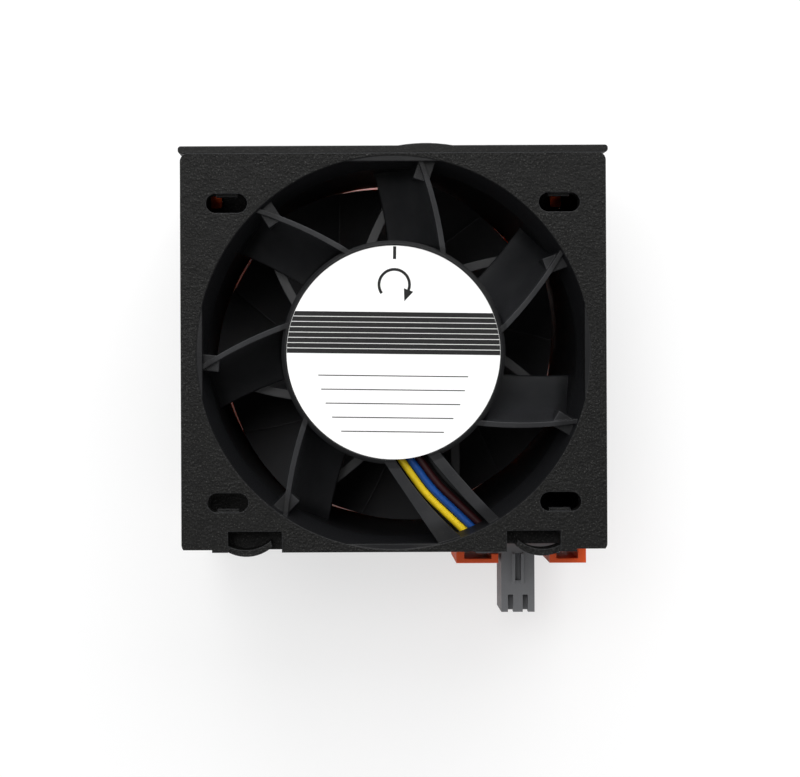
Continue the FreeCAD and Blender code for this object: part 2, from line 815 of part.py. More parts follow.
def fan_housing():
    body = new_body("fan_housing")
    add_trough(body)
    add_vanes(body)
    low, high = f"{VANE_END}-1", f"{OUTLET}+1"
    outside = [
        ("duct_radius+flare_wall", low),
        ("frame_width", low),
        ("frame_width", high),
        (MOUTH_OUTER, high),
        (MOUTH_OUTER, OUTLET),
        ("duct_radius+flare_wall", FLARE_START),
    ]
    groove(body, "trim", [box_loop("0", low, HUB_MID, high), outside])
    revolve(body, "hub", [hub_profile()])
    sketch = draw(body, "channel_outline", "XY_Plane", [channel_outline()], lift=OUTLET, turn="trough_angle")
    pocket(body, "channel", sketch, "trough_depth")
    revolve(body, "duct", [duct_profile()])
    add_flanges(body)
    add_flats(body)
    low_side = f"{TROUGH_LOW}-trough_bow/2"
    way = [box_loop("duct_radius-wire_way", low_side, f"{EDGE}+wire_way", TROUGH_HIGH)]
    sketch = draw(body, "wire_way_outline", "XY_Plane", way, lift=FLANGE_BACK, turn="trough_angle")
    pocket(body, "wire_way", sketch, f"{FLANGE_BACK}-{TROUGH_FLOOR}+wire_radius")
    add_corner_slots(body)
    add_fingers(body)
    add_shelf(body)
    pegs = [circle(f"{side}*peg_spacing/2", level, "peg_radius+fit_gap") for side, level in peg_places()]
    sketch = draw(body, "peg_hole_outlines", "XZ_Plane", pegs, lift=f"-{EDGE}")
    pocket(body, "peg_holes", sketch, "peg_length+seat_gap", reverse=True)
    return body


# Covers


def peg_places():
    return [
        (side, level)
        for side in ("-1", "1")
        for level in (f"{INLET}+flange_thick/2", f"{OUTLET}-flange_thick/2")
    ]


def top_plate():
    """The plate on the upper edge, with its finger hump, held by four pegs in the flanges."""
    body = new_body("top_plate")
    outer = f"({SIDE}+plate_overhang)"
    outline = round_box(f"-{outer}", EDGE, outer, f"{EDGE}+plate_thick", "plate_round")
    pad(body, "plate", draw(body, "plate_outline", "XY_Plane", [outline], lift=INLET), "frame_depth")
    crown = f"{EDGE}+plate_thick"
    hump = [
        ("hump_start", f"{crown}-hump_bevel"),
        ("hump_start+hump_width", f"{crown}-hump_bevel"),
        ("hump_start+hump_width", crown, "2*hump_rise/hump_width"),
        ("hump_start", crown),
    ]
    pad(body, "hump", draw(body, "hump_outline", "XY_Plane", [hump], lift=INLET), "frame_depth")
    pegs = [circle(f"{side}*peg_spacing/2", level, "peg_radius") for side, level in peg_places()]
    pad(body, "pegs", draw(body, "peg_outlines", "XZ_Plane", pegs, lift=f"-{EDGE}"), "peg_length")
    return body


def inlet_guard():
    """Finger guard over the inlet: rings and a disc on crossed arms, snapped into the frame's corners."""
    body = new_body("inlet_guard")
    rings = [circle("0", "0", "guard_disc_radius")]
    for place in range(3):
        middle = f"(guard_ring_radius-{place}*guard_ring_pitch)"
        rings += ring_loops(f"{middle}-guard_ring_width/2", f"{middle}+guard_ring_width/2")
    pad(body, "rings", draw(body, "ring_outlines", "XY_Plane", rings), "guard_depth")
    reach = "(sqrt(hook_x^2+hook_y^2)+guard_arm_reach)"
    half = "guard_arm_width/2"
    arm = [(f"-{reach}", f"-{half}"), (reach, f"-{half}", "1"), (reach, half), (f"-{reach}", half, "1")]
    for name, turn in (("rising", "atan(hook_y/hook_x)"), ("falling", "-atan(hook_y/hook_x)")):
        sketch = draw(body, f"{name}_arm_outline", "XY_Plane", [arm], turn=turn)
        pad(body, f"{name}_arm", sketch, "guard_depth")
    stems = [hook_loop(x_side, "0") for x_side in ("-1", "1")]
    top = f"{INLET}+flange_thick+seat_gap"
    pad(body, "hook_stems", draw(body, "hook_stem_outlines", "XY_Plane", stems), f"{top}+hook_head")
    barbs = [
        box_loop(
            f"{x_side}*hook_x-hook_width/2", "hook_y",
            f"{x_side}*hook_x+hook_width/2", "hook_y+hook_thick/2+snap_gap+hook_barb",
        )
        for x_side in ("-1", "1")
    ]
    pad(body, "hook_barbs", draw(body, "hook_barb_outlines", "XY_Plane", barbs, lift=top), "hook_head")
    sketch = draw(body, "guard_peg_outlines", "XY_Plane", guard_pegs("0"))
    pad(body, "guard_pegs", sketch, f"{INLET}+guard_peg_length")
    return body


def hub_label():
    body = new_body("hub_label")
    sketch = draw(body, "label_outline", "XY_Plane", [circle("0", "0", "label_radius")], lift=SLEEVE_TOP)
    pad(body, "label_disc", sketch, "label_thick")
    return body


# Rotor


def blade_section(lead, trail):
    """An impeller blade's section: it runs from the leading edge by the inlet to the trailing edge."""
    front, back = f"{ROTOR_FRONT}+blade_front", f"{ROTOR_REAR}-blade_back"
    return [
        (lead, front, "blade_camber"),
        (trail, back),
        (f"{trail}-blade_thick", back, "-blade_camber"),
        (f"{lead}-blade_thick", front),
    ]


def impeller():
    """Hub cup with swept blades, closed at the inlet side."""
    body = new_body("impeller")
    stations = (
        ("root", "(rotor_radius-blade_root_inset)"),
        ("middle", "((rotor_radius+duct_radius)/2-blade_middle_inset)"),
        ("tip", "duct_radius"),
    )
    sections = [
        draw_radial(
            body,
            f"blade_{name}",
            "blade_angle",
            radius,
            [blade_section(f"blade_{name}_lead", f"blade_{name}_trail")],
        )
        for name, radius in stations
    ]
    spread(body, "blades", [loft(body, "blade", sections)], "blade_count")
    inner, outer = "(rotor_radius-rotor_wall/2)", "(duct_radius-tip_gap)"
    low, high = f"{ROTOR_FRONT}-1", f"{ROTOR_REAR}+1"
    groove(body, "trim", [box_loop("0", low, inner, high), box_loop(outer, low, "frame_width", high)])
    bore = "(rotor_radius-rotor_wall)"
    cup = [
        ("0", ROTOR_FRONT),
        ("rotor_radius-rotor_bevel", ROTOR_FRONT),
        ("rotor_radius", f"{ROTOR_FRONT}+rotor_bevel"),
        ("rotor_radius", ROTOR_REAR),
        (bore, ROTOR_REAR),
        (bore, YOKE_FRONT),
        ("0", YOKE_FRONT),
    ]
    revolve(body, "cup", [cup])
    return body


def rotor_yoke():
    """Steel cup that closes the magnet's flux and carries the shaft in its boss."""
    bore = "(shaft_radius+fit_gap)"
    floor = f"{YOKE_FRONT}+yoke_wall"
    return turned(
        "rotor_yoke",
        [
            (bore, YOKE_FRONT),
            (YOKE_RADIUS, YOKE_FRONT),
            (YOKE_RADIUS, YOKE_REAR),
            (YOKE_BORE, YOKE_REAR),
            (YOKE_BORE, floor),
            ("boss_radius", floor),
            ("boss_radius", BOSS_TOP),
            (bore, BOSS_TOP),
        ],
    )


def rotor_magnet():
    return turned("rotor_magnet", box_loop(MAGNET_BORE, MAGNET_FRONT, MAGNET_RADIUS, MAGNET_REAR))


def rotor_shaft():
    """Shaft from the yoke's boss to the retaining ring's groove at its tail."""
    neck = "(shaft_radius-ring_groove)"
    groove_end = f"{RING_FRONT}+ring_thick+fit_gap"
    return turned(
        "rotor_shaft",
        [
            ("0", YOKE_FRONT),
            ("shaft_radius", YOKE_FRONT),
            ("shaft_radius", RING_FRONT),
            (neck, RING_FRONT),
            (neck, groove_end),
            ("shaft_radius", groove_end),
            ("shaft_radius", SHAFT_END),
            ("0", SHAFT_END),
        ],
    )


def bearing(name, front):
    """One shielded ball bearing: an outer race with its shields and an inner race."""
    back = f"{front}+bearing_width"
    inner_top = "(shaft_radius+fit_gap+race_wall)"
    shield = f"({inner_top}+running_gap)"
    track = "(bearing_radius-race_wall)"
    outer = turned(
        f"{name}_bearing_outer",
        [
            (shield, front),
            ("bearing_radius", front),
            ("bearing_radius", back),
            (shield, back),
            (shield, f"{back}-shield_thick"),
            (track, f"{back}-shield_thick"),
            (track, f"{front}+shield_thick"),
            (shield, f"{front}+shield_thick"),
        ],
    )
    inner = turned(f"{name}_bearing_inner", box_loop("shaft_radius+fit_gap", front, inner_top, back))
    return [outer, inner]


def shaft_bush():
    outer = "shaft_radius+fit_gap+bush_wall"
    return turned("shaft_bush", box_loop("shaft_radius+fit_gap", BOSS_TOP, outer, f"{BOSS_TOP}+bush_length"))


def preload_washer():
    """Cone washer that presses the lower bearing's inner race away from the bush."""
    bore, rim = "shaft_radius+fit_gap", "shaft_radius+fit_gap+race_wall"
    low = f"{BOSS_TOP}+bush_length"
    high = f"{BEARING_FRONT}"
    return turned(
        "preload_washer",
        [
            (bore, low),
            (f"{bore}+washer_land", low),
            (rim, f"{high}-washer_thick"),
            (rim, high),
            (f"{rim}-washer_land", high),
            (bore, f"{low}+washer_thick"),
        ],
    )


def retaining_ring():
    inner = "shaft_radius-ring_groove+fit_gap"
    loop = box_loop(inner, RING_FRONT, "shaft_radius+ring_width", f"{RING_FRONT}+ring_thick")
    return turned("retaining_ring", loop)


# Stator


def bearing_sleeve():
    """Brass sleeve in the hub: a seat for each bearing and a ridge that keeps them apart."""
    bore, ridge = "(bearing_radius+fit_gap)", "(bearing_radius-sleeve_ridge)"
    low, high = f"{BEARING_FRONT}+bearing_width", BEARING_REAR
    front = f"{BEARING_FRONT}-seat_gap"
    return turned(
        "bearing_sleeve",
        [
            (bore, front),
            (SLEEVE_RADIUS, front),
            (SLEEVE_RADIUS, SLEEVE_TOP),
            (bore, SLEEVE_TOP),
            (bore, high),
            (ridge, high),
            (ridge, low),
            (bore, low),
        ],
    )


def stator_core():
    """Lamination stack: a ring on the sleeve, poles and a rim that is split between them."""
    body = new_body("stator_core")
    bore = f"({SLEEVE_RADIUS}+fit_gap)"
    loops = ring_loops(f"{CORE_RADIUS}-core_rim", CORE_RADIUS) + ring_loops(bore, f"{bore}+core_ring")
    pad(body, "rings", draw(body, "ring_outlines", "XY_Plane", loops, lift=CORE_FRONT), CORE_HEIGHT)
    half = "pole_width/2"
    pole = [box_loop(f"{bore}+core_ring/2", f"-{half}", f"{CORE_RADIUS}-core_rim/2", half)]
    sketch = draw(body, "pole_outline", "XY_Plane", pole, lift=CORE_FRONT)
    spread(body, "poles", [pad(body, "pole", sketch, CORE_HEIGHT)], "pole_count")
    split = [box_loop(f"{CORE_RADIUS}-core_rim-1", "-pole_gap/2", f"{CORE_RADIUS}+1", "pole_gap/2")]
    lift, turn = f"{CORE_REAR}", "180/pole_count"
    sketch = draw(body, "split_outline", "XY_Plane", split, lift=lift, turn=turn)
    spread(body, "splits", [pocket(body, "split", sketch, CORE_HEIGHT)], "pole_count")
    return body


def insulator(label, low, collar):
    """Moulded end piece on the core; the upper one has the collar that the board stands on."""
    body = new_body(label)
    bore = f"({SLEEVE_RADIUS}+seat_gap)"
    ring = f"({bore}+core_ring)"
    sketch = draw(body, "ring_outline", "XY_Plane", ring_loops(bore, ring), lift=low)
    pad(body, "ring", sketch, "insulator_thick")
    half = "(pole_width/2+insulator_thick)"
    pole = [box_loop(f"{bore}+core_ring/2", f"-{half}", f"{CORE_RADIUS}-core_rim", half)]
    sketch = draw(body, "pole_outline", "XY_Plane", pole, lift=low)
    spread(body, "poles", [pad(body, "pole", sketch, "insulator_thick")], "pole_count")
    if collar:
        sketch = draw(body, "collar_outline", "XY_Plane", ring_loops(bore, f"{bore}+1"), lift=low)
        pad(body, "collar", sketch, f"{BOARD_UNDER}-({low})")
    return body


def stator_coils():
    """A winding round each pole."""
    body = new_body("stator_coils")
    half = "(pole_width/2+insulator_thick+seat_gap)"
    near = f"({SLEEVE_RADIUS}+core_ring+2*coil_end_gap)"
    far = f"(sqrt(({CORE_RADIUS}-core_rim)^2-({half}+coil_thick)^2)-coil_end_gap)"
    low, high = f"{CORE_FRONT}-insulator_thick-seat_gap", f"{CORE_REAR}+insulator_thick+seat_gap"
    inner = box_loop(f"-{half}", low, half, high)
    outer = round_box(
        f"-{half}-coil_thick", f"{low}-coil_thick", f"{half}+coil_thick", f"{high}+coil_thick", "coil_round"
    )
    sketch = draw_radial(body, "coil_outline", "0", near, [outer, inner])
    spread(body, "coils", [pad(body, "coil", sketch, f"{far}-{near}")], "pole_count")
    return body


def circuit_board():
    body = new_body("circuit_board")
    loops = ring_loops(f"{SLEEVE_RADIUS}+seat_gap", "board_radius")
    pad(body, "board", draw(body, "board_outline", "XY_Plane", loops, lift=BOARD_UNDER), "board_thick")
    return body


def board_part(label, turn, shift, length, width, low, high):
    """A part on the board, square to the radius that it sits on."""
    body = new_body(label)
    half_x, half_y = f"({width})/2", f"({length})/2"
    loop = round_box(f"{shift}-{half_x}", f"-{half_y}", f"{shift}+{half_x}", half_y, "chip_round")
    pad(body, "body", draw(body, "outline", "XY_Plane", [loop], lift=low, turn=turn), f"{high}-({low})")
    return body


def filter_capacitor():
    body = new_body("filter_capacitor")
    can = [circle("-capacitor_shift", "0", "capacitor_radius")]
    pad(body, "can", draw(body, "can_outline", "XY_Plane", can, lift=BOARD_TOP), "capacitor_height")
    return body


# Connector and its bracket


def connector_bracket():
    """Two channel-shaped lugs under a plate, which the connector's wings float between."""
    body = new_body("connector_bracket")
    left_in, right_in = "bracket_left+lug_outer_wall", "bracket_right-lug_outer_wall"
    left_rail_in, right_rail_in = f"{LEFT_RAIL}-lug_inner_wall", f"{RIGHT_RAIL}+lug_inner_wall"
    floor = f"{LUG_BOTTOM}+lug_floor"
    outline = [
        ("bracket_left", f"-{EDGE}"),
        ("bracket_left", LUG_BOTTOM),
        (LEFT_RAIL, LUG_BOTTOM),
        (LEFT_RAIL, RAIL_TOP),
        (left_rail_in, RAIL_TOP),
        (left_rail_in, floor),
        (left_in, floor),
        (left_in, PLATE_UNDER),
        (right_in, PLATE_UNDER),
        (right_in, floor),
        (right_rail_in, floor),
        (right_rail_in, RAIL_TOP),
        (RIGHT_RAIL, RAIL_TOP),
        (RIGHT_RAIL, LUG_BOTTOM),
        ("bracket_right", LUG_BOTTOM),
        ("bracket_right", f"-{EDGE}"),
    ]
    sketch = draw(body, "lug_outline", "XY_Plane", [outline], lift=BRACKET_BACK)
    pad(body, "lugs", sketch, "bracket_depth")
    bar = [box_loop("bracket_left", RAIL_TOP, "bracket_right", f"-{EDGE}")]
    pad(body, "rear_bar", draw(body, "bar_outline", "XY_Plane", bar, lift=BRACKET_BACK), "bar_thick")
    sketch = draw(body, "window_outline", "XZ_Plane", [window_loop("0")], lift=EDGE)
    pocket(body, "window", sketch, "bracket_plate", reverse=True)
    rise = "shelf_thick+seat_gap+clip_head"
    low, high = f"{PLUG_MID}-clip_width/2", f"{PLUG_MID}+clip_width/2"
    ranges = [clip_range(side) for side in ("left", "right")]
    stems = [box_loop(near, low, far, high) for near, far in ranges]
    pad(body, "clip_stems", draw(body, "clip_outlines", "XZ_Plane", stems, lift=EDGE), rise, reverse=True)
    barbs = [box_loop(near, low, f"{far}+snap_gap+clip_barb*2", high) for near, far in ranges]
    sketch = draw(body, "barb_outlines", "XZ_Plane", barbs, lift=f"{EDGE}-shelf_thick-seat_gap")
    pad(body, "clip_barbs", sketch, "clip_head", reverse=True)
    return body


def way_places(rows):
    """Centres across X and along Z of the contact ways in these rows, column by column."""
    return [
        (f"(plug_centre+{column}*way_pitch_x)", f"({PLUG_MID}+({row}-(way_rows-1)/2)*way_pitch_z)")
        for column in ("(-0.5)", "0.5")
        for row in rows
    ]


def all_rows():
    return range(int(number("way_rows")))


def loaded_rows():
    """Only the outer rows hold contacts."""
    return 0, int(number("way_rows")) - 1


def connector_housing():
    """Blind-mate connector: floating wings and the mating body with its contact ways."""
    body = new_body("connector_housing")
    left, right = "plug_centre-plug_width/2", "plug_centre+plug_width/2"
    wing_left, wing_right = "plug_centre-wing_span/2", "plug_centre+wing_span/2"
    outline = [
        (left, PLUG_BOTTOM),
        (right, PLUG_BOTTOM),
        (right, WING_UNDER),
        (wing_right, WING_UNDER),
        (wing_right, WING_TOP),
        (wing_left, WING_TOP),
        (wing_left, WING_UNDER),
        (left, WING_UNDER),
    ]
    pad(body, "block", draw(body, "block_outline", "XY_Plane", [outline], lift=PLUG_BACK), "plug_depth")
    key_low = f"{WING_UNDER}-key_slot_length"
    rib = [
        box_loop(
            f"plug_centre+({side})*key_slot_width/2", f"{key_low}-key_rib",
            f"plug_centre+({side})*(key_slot_width/2+key_rib)", WING_UNDER,
        )
        for side in ("-1", "1")
    ]
    pad(body, "key_ribs", draw(body, "key_rib_outlines", "XY_Plane", rib, lift=PLUG_FRONT), "key_rib")
    slot = [box_loop("plug_centre-key_slot_width/2", key_low, "plug_centre+key_slot_width/2", WING_UNDER)]
    sketch = draw(body, "key_slot_outline", "XY_Plane", slot, lift=PLUG_FRONT)
    pocket(body, "key_slot", sketch, "key_slot_depth")
    ways = [
        box_loop(f"{x}-way_width/2", f"{z}-way_width/2", f"{x}+way_width/2", f"{z}+way_width/2")
        for x, z in way_places(all_rows())
    ]
    sketch = draw(body, "way_outlines", "XZ_Plane", ways, lift=f"-({PLUG_BOTTOM})")
    pocket(body, "ways", sketch, f"{PLUG_TOP}-{PLUG_BOTTOM}-way_roof")
    low_slots = [
        box_loop(
            f"plug_centre+({side})*way_pitch_x/2-low_slot_width/2", f"{PLUG_BOTTOM}-1",
            f"plug_centre+({side})*way_pitch_x/2+low_slot_width/2", f"{PLUG_BOTTOM}+low_slot_length",
        )
        for side in ("-1", "1")
    ]
    sketch = draw(body, "low_slot_outlines", "XY_Plane", low_slots, lift=PLUG_FRONT)
    pocket(body, "low_slots", sketch, f"{PLUG_FRONT}-{PLUG_MID}-way_pitch_z")
    return body


def connector_contacts():
    """The four loaded contacts, each a square socket in its way."""
    body = new_body("connector_contacts")
    outer, inner = "(way_width/2-seat_gap)", "(way_width/2-seat_gap-contact_wall)"
    loops = []
    for x, z in way_places(loaded_rows()):
        for half in (outer, inner):
            loops.append(box_loop(f"{x}-{half}", f"{z}-{half}", f"{x}+{half}", f"{z}+{half}"))
    sketch = draw(body, "socket_outlines", "XZ_Plane", loops, lift=f"-({PLUG_BOTTOM}+contact_inset)")
    pad(body, "sockets", sketch, f"{PLUG_TOP}-{PLUG_BOTTOM}-way_roof-contact_inset-seat_gap", reverse=True)
    return body


# Lead wires


def trough_point(along, across, height):
    """A point given along and across the trough."""
    turn = math.radians(number("trough_angle"))
    x = along * math.cos(turn) - across * math.sin(turn)
    y = along * math.sin(turn) + across * math.cos(turn)
    return Vector(x, y, height)


def bent_path(points, radii):
    """Straight runs through the points, joined by tangent arcs of these radii."""
    edges = []
    start = points[0]
    for before, corner, after, radius in zip(points, points[1:], points[2:], radii):
        back = (before - corner).normalize()
        ahead = (after - corner).normalize()
        half_turn = (math.pi - back.getAngle(ahead)) / 2
        cut = radius * math.tan(half_turn)
        first = corner + back * cut
        last = corner + ahead * cut
        middle = corner + (back + ahead).normalize() * (math.hypot(cut, radius) - radius)
        edges.append(Part.LineSegment(start, first).toShape())
        edges.append(Part.Arc(first, middle, last).toShape())
        start = last
    edges.append(Part.LineSegment(start, points[-1]).toShape())
    return Part.Wire(edges)


def lead_wire(label, across, level, way, bridge="wire_bridge", setback="0", beyond="0"):
    """A wire from the board, along the trough, behind the outlet flange and down into the connector."""
    radius = number("wire_radius")
    start = number(f"trough_start-wire_radius-wire_gap-{setback}")
    aside = number(across)
    height = number(level)
    clear = number("duct_radius+duct_wall+wire_radius+2*snap_gap")
    outside = math.sqrt(clear ** 2 - aside ** 2) + number(beyond)
    middle = number("(trough_start+duct_radius)/2")
    bow = number("wire_bow")

    def bowed(distance, level_here):
        slope = bow / (middle - number("trough_start"))
        return trough_point(distance, aside - bow + slope * abs(distance - middle), level_here)

    x, z = (number(text) for text in way)
    points = [
        bowed(start, number(BOARD_TOP)),
        bowed(start, height),
        bowed(middle, height),
        bowed(outside, height),
        Vector(x, number(f"{PLUG_TOP}+{bridge}"), z),
        Vector(x, number(f"{PLUG_TOP}+fit_gap"), z),
    ]
    bend = number("wire_bend")
    path = bent_path(points, [bend, number("wire_sweep"), bend, bend])
    ring = Part.Wire([Part.Circle(points[0], Vector(0, 0, 1), radius).toShape()])
    wire = DOC.addObject("Part::Feature", label)
    wire.Label = label
    wire.Shape = path.makePipeShell([ring], True, False)
    wire.Placement = FreeCAD.Placement()
    swept = math.pi * radius ** 2 * path.Length
    if abs(wire.Shape.Volume - swept) > 0.01 * swept:
        raise ValueError(f"{label} is not its section times its length")
    return wire


def lead_wires():
    """Three wires side by side in the trough, and the fourth under them against its wall."""
    left_low, left_high, right_low, right_high = way_places(loaded_rows())
    apart = "(2*wire_radius+wire_gap)"
    yellow = f"({TROUGH_LOW}+wire_radius+wire_gap)"
    lower = f"({TROUGH_FLOOR}+wire_radius+wire_gap)"
    upper = f"({lower}+{apart})"
    return [
        lead_wire("yellow_wire", yellow, upper, left_low),
        lead_wire("blue_wire", f"{yellow}+{apart}+wire_gap", upper, left_high, beyond="2*snap_gap"),
        lead_wire("red_wire", f"{TROUGH_HIGH}-2*wire_radius", upper, right_high, setback=apart, beyond=apart),
        lead_wire(
            "black_wire", f"{TROUGH_HIGH}-wire_radius-snap_gap-wire_gap", lower, right_low,
            bridge="wire_bridge+wire_crossing",
        ),
    ]


def main():
    fill_sheet()
    chip_top = f"{BOARD_TOP}+chip_height"
    pieces = [
        fan_housing(),
        top_plate(),
        inlet_guard(),
        hub_label(),
        impeller(),
        rotor_yoke(),
        rotor_magnet(),
        rotor_shaft(),
        *bearing("lower", BEARING_FRONT),
        *bearing("upper", BEARING_REAR),
        shaft_bush(),
        preload_washer(),
        retaining_ring(),
        bearing_sleeve(),
        stator_core(),
        insulator("upper_insulator", CORE_REAR, True),
        insulator("lower_insulator", f"{CORE_FRONT}-insulator_thick", False),
        stator_coils(),
        circuit_board(),
        board_part("driver_chip", "60", "chip_shift", "chip_length", "chip_width", BOARD_TOP, chip_top),
        board_part(
            "hall_sensor", "45", f"{MAGNET_BORE}", "sensor_length", "sensor_width",
            f"{BOARD_UNDER}-sensor_height", BOARD_UNDER,
        ),
        filter_capacitor(),
        connector_bracket(),
        connector_housing(),
        connector_contacts(),
        *lead_wires(),
    ]
    DOC.recompute()
    failed = [item.Label for item in DOC.Objects if {"Invalid", "Error"} & set(item.State)]
    failed += [piece.Label for piece in pieces if piece.Shape.isNull() or not piece.Shape.isValid()]
    if failed:
        raise ValueError(f"pieces that failed: {failed}")
    os.makedirs("parts", exist_ok=True)
    for piece in pieces:
        piece.Shape.exportStep(f"parts/{piece.Label}.step")


main()
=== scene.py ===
import math

import bmesh
import bpy
from bpy.props import FloatProperty, FloatVectorProperty, IntProperty, PointerProperty
from mathutils import Matrix, Vector


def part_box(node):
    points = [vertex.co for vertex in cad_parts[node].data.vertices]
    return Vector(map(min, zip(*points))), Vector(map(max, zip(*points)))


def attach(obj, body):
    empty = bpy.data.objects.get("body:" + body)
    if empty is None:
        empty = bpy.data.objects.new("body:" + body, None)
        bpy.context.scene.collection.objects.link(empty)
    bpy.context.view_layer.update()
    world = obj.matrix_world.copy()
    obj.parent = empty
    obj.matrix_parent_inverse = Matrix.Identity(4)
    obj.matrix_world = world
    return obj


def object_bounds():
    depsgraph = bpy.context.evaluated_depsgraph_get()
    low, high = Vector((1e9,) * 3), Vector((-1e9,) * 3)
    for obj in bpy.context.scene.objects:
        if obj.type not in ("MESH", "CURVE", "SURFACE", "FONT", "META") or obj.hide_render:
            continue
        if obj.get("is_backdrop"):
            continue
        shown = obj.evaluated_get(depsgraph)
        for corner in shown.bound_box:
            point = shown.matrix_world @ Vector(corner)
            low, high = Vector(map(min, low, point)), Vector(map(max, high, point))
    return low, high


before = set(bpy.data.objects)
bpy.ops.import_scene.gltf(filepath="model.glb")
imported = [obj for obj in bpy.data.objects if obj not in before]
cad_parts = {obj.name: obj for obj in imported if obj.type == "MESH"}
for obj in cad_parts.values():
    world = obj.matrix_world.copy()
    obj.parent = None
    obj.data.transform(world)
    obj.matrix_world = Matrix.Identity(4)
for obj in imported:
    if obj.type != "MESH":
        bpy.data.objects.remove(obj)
CAD_BOX = [list(corner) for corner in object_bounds()]

bl_info = {
    "name": "Hot-swap fan module",
    "version": (1, 0, 0),
    "blender": (4, 5, 0),
    "location": "3D View > Sidebar > Fan",
    "description": "Finishes, hub print and studio for a hot-swap axial fan module",
    "category": "Object",
}

MM = 0.001

# Textures
NOISE_LOW, NOISE_HIGH = 0.3, 0.7
FLECK_LOW, FLECK_HIGH = 0.58, 0.76
FLECK_FINENESS = 1.9
BEVEL_SAMPLES = 6
EDGE_STARTS, EDGE_FULL = 0.995, 0.80
DRIFT_SCALE, SPECK_SCALE = 160.0, 5200.0
DRIFT_SHARE = 0.35

# Mouldings
FLECK_SHARE = 0.5
RUB_AND_LIGHT_SHARE = 0.6
GLOSS_SPREAD = 0.07
GRAIN_RISE = 0.3

# Housing
GRAIN_STARTS, GRAIN_FULL = -0.1 * MM, 0.2 * MM
WALL_FADE = 2 * MM
HUB_FADE = 0.3 * MM
EDGE_LIGHT_FADE = 0.2 * MM
HOUSING_DUST = 0.16
HOUSING_FLECKS = 0.8
HOUSING_RUB_AND_LIGHT = 0.55
HOUSING_RISE = 0.55
PATCH_GLOSS = 0.13
BORE_RISE = 0.12

# Print and lips
STRIP_STEPS = 3
ARROW_STEPS = 24
ARROW_POINT = 1.2
LIP_STEPS = 10
LIP_POINTS = 8
LIP_BEND = 0.5
EDGE_SAMPLES = 200

# Stage
SENSOR_WIDTH = 36
CLIP_NEAR, CLIP_FAR = 0.01, 20
FLOOR_GAP = 0.02 * MM
SKY_FADES, SKY_FADED = 0.2, 0.8


# Settings

def colour(name, description, value):
    """A colour setting, linear."""
    return FloatVectorProperty(
        name=name, description=description, subtype="COLOR", size=4, min=0, max=1, default=(*value, 1)
    )


def length(name, description, value):
    """A length setting, in metres."""
    return FloatProperty(name=name, description=description, default=value, unit="LENGTH", precision=5)


def spot(name, description, value):
    """A point setting of two lengths, in metres."""
    return FloatVectorProperty(
        name=name, description=description, size=2, default=value, unit="LENGTH", precision=5
    )


def standpoint(name, description, value):
    """A point setting of three lengths, in metres."""
    return FloatVectorProperty(
        name=name, description=description, default=value, subtype="TRANSLATION", unit="LENGTH", precision=5
    )


def angle(name, description, degrees):
    """An angle setting, given in degrees."""
    return FloatProperty(name=name, description=description, default=math.radians(degrees), subtype="ANGLE")


def how_many(name, description, value):
    """A setting of how many, one at least."""
    return IntProperty(name=name, description=description, default=value, min=1)


def share(name, description, value):
    """A setting from 0 to 1."""
    return FloatProperty(name=name, description=description, default=value, min=0, max=1, subtype="FACTOR")


def light_level(name, description, value):
    """A light's strength."""
    return FloatProperty(name=name, description=description, default=value, min=0)


def lamp_power(name, description, value):
    """A lamp's power, in watts."""
    return FloatProperty(name=name, description=description, default=value, min=0, unit="POWER")


class FanMouldings(bpy.types.PropertyGroup):
    """Colours and textures of the moulded parts."""

    frame_colour: colour("Frame", "Grained black of the flanges", (0.0028, 0.0028, 0.0026))
    fleck_colour: colour("Fleck", "Bright points in the grain", (0.046, 0.046, 0.043))
    bore_colour: colour("Bore", "Smooth black of the vanes", (0.019, 0.0195, 0.0213))
    # Painted shade: a darker black for the duct's wall and the hub, where shade falls in the duct.
    wall_shade_colour: colour("Wall", "Smooth black of the duct's wall and the hub", (0.0058, 0.006, 0.0068))
    # Paler edges: partly wear, partly a painted highlight along the edges.
    rub_and_light_colour: colour("Edge", "Rubbed edges of the black mouldings", (0.055, 0.057, 0.062))
    rotor_colour: colour("Rotor", "Black of the impeller", (0.034, 0.034, 0.036))
    orange_colour: colour("Orange", "Guard and connector bracket", (0.9, 0.1, 0.011))
    connector_colour: colour("Connector", "Grey of the floating connector", (0.19, 0.193, 0.203))
    nylon_colour: colour("Insulator", "Natural nylon of the stator's insulators", (0.72, 0.68, 0.56))
    epoxy_colour: colour("Epoxy", "Black epoxy of the board's parts", (0.014, 0.014, 0.015))
    dust_colour: colour("Dust", "Settled dust", (0.16, 0.155, 0.145))
    grain_size: length("Grain", "Width of one grain on the flanges", 0.00042)
    mottle_size: length("Mottle", "Width of the duller and glossier patches of the flanges", 0.0022)
    fine_grain: length("Fine grain", "Width of one grain on the smooth mouldings", 0.00016)
    # The hub radius and the wall radius bound the painted shade on the hub and on the duct's wall.
    hub_radius: length("Hub radius", "Inside this radius the vanes end on the hub", 0.0176)
    wall_shade_radius: length("Wall radius", "From this radius the vanes darken to the duct's wall", 0.0258)
    bore_radius: length("Bore radius", "Inside this radius the housing is smooth", 0.0296)
    edge_radius: length("Edge radius", "Rounding of the moulded edges", 0.00022)
    # Painted highlight: inside the duct only the edges above this height are paled, so the top edges look lit
    # and the deeper ones stay dark.
    edge_light_level: length("Rub level", "Above this height the edges inside the duct are rubbed", 0.0387)


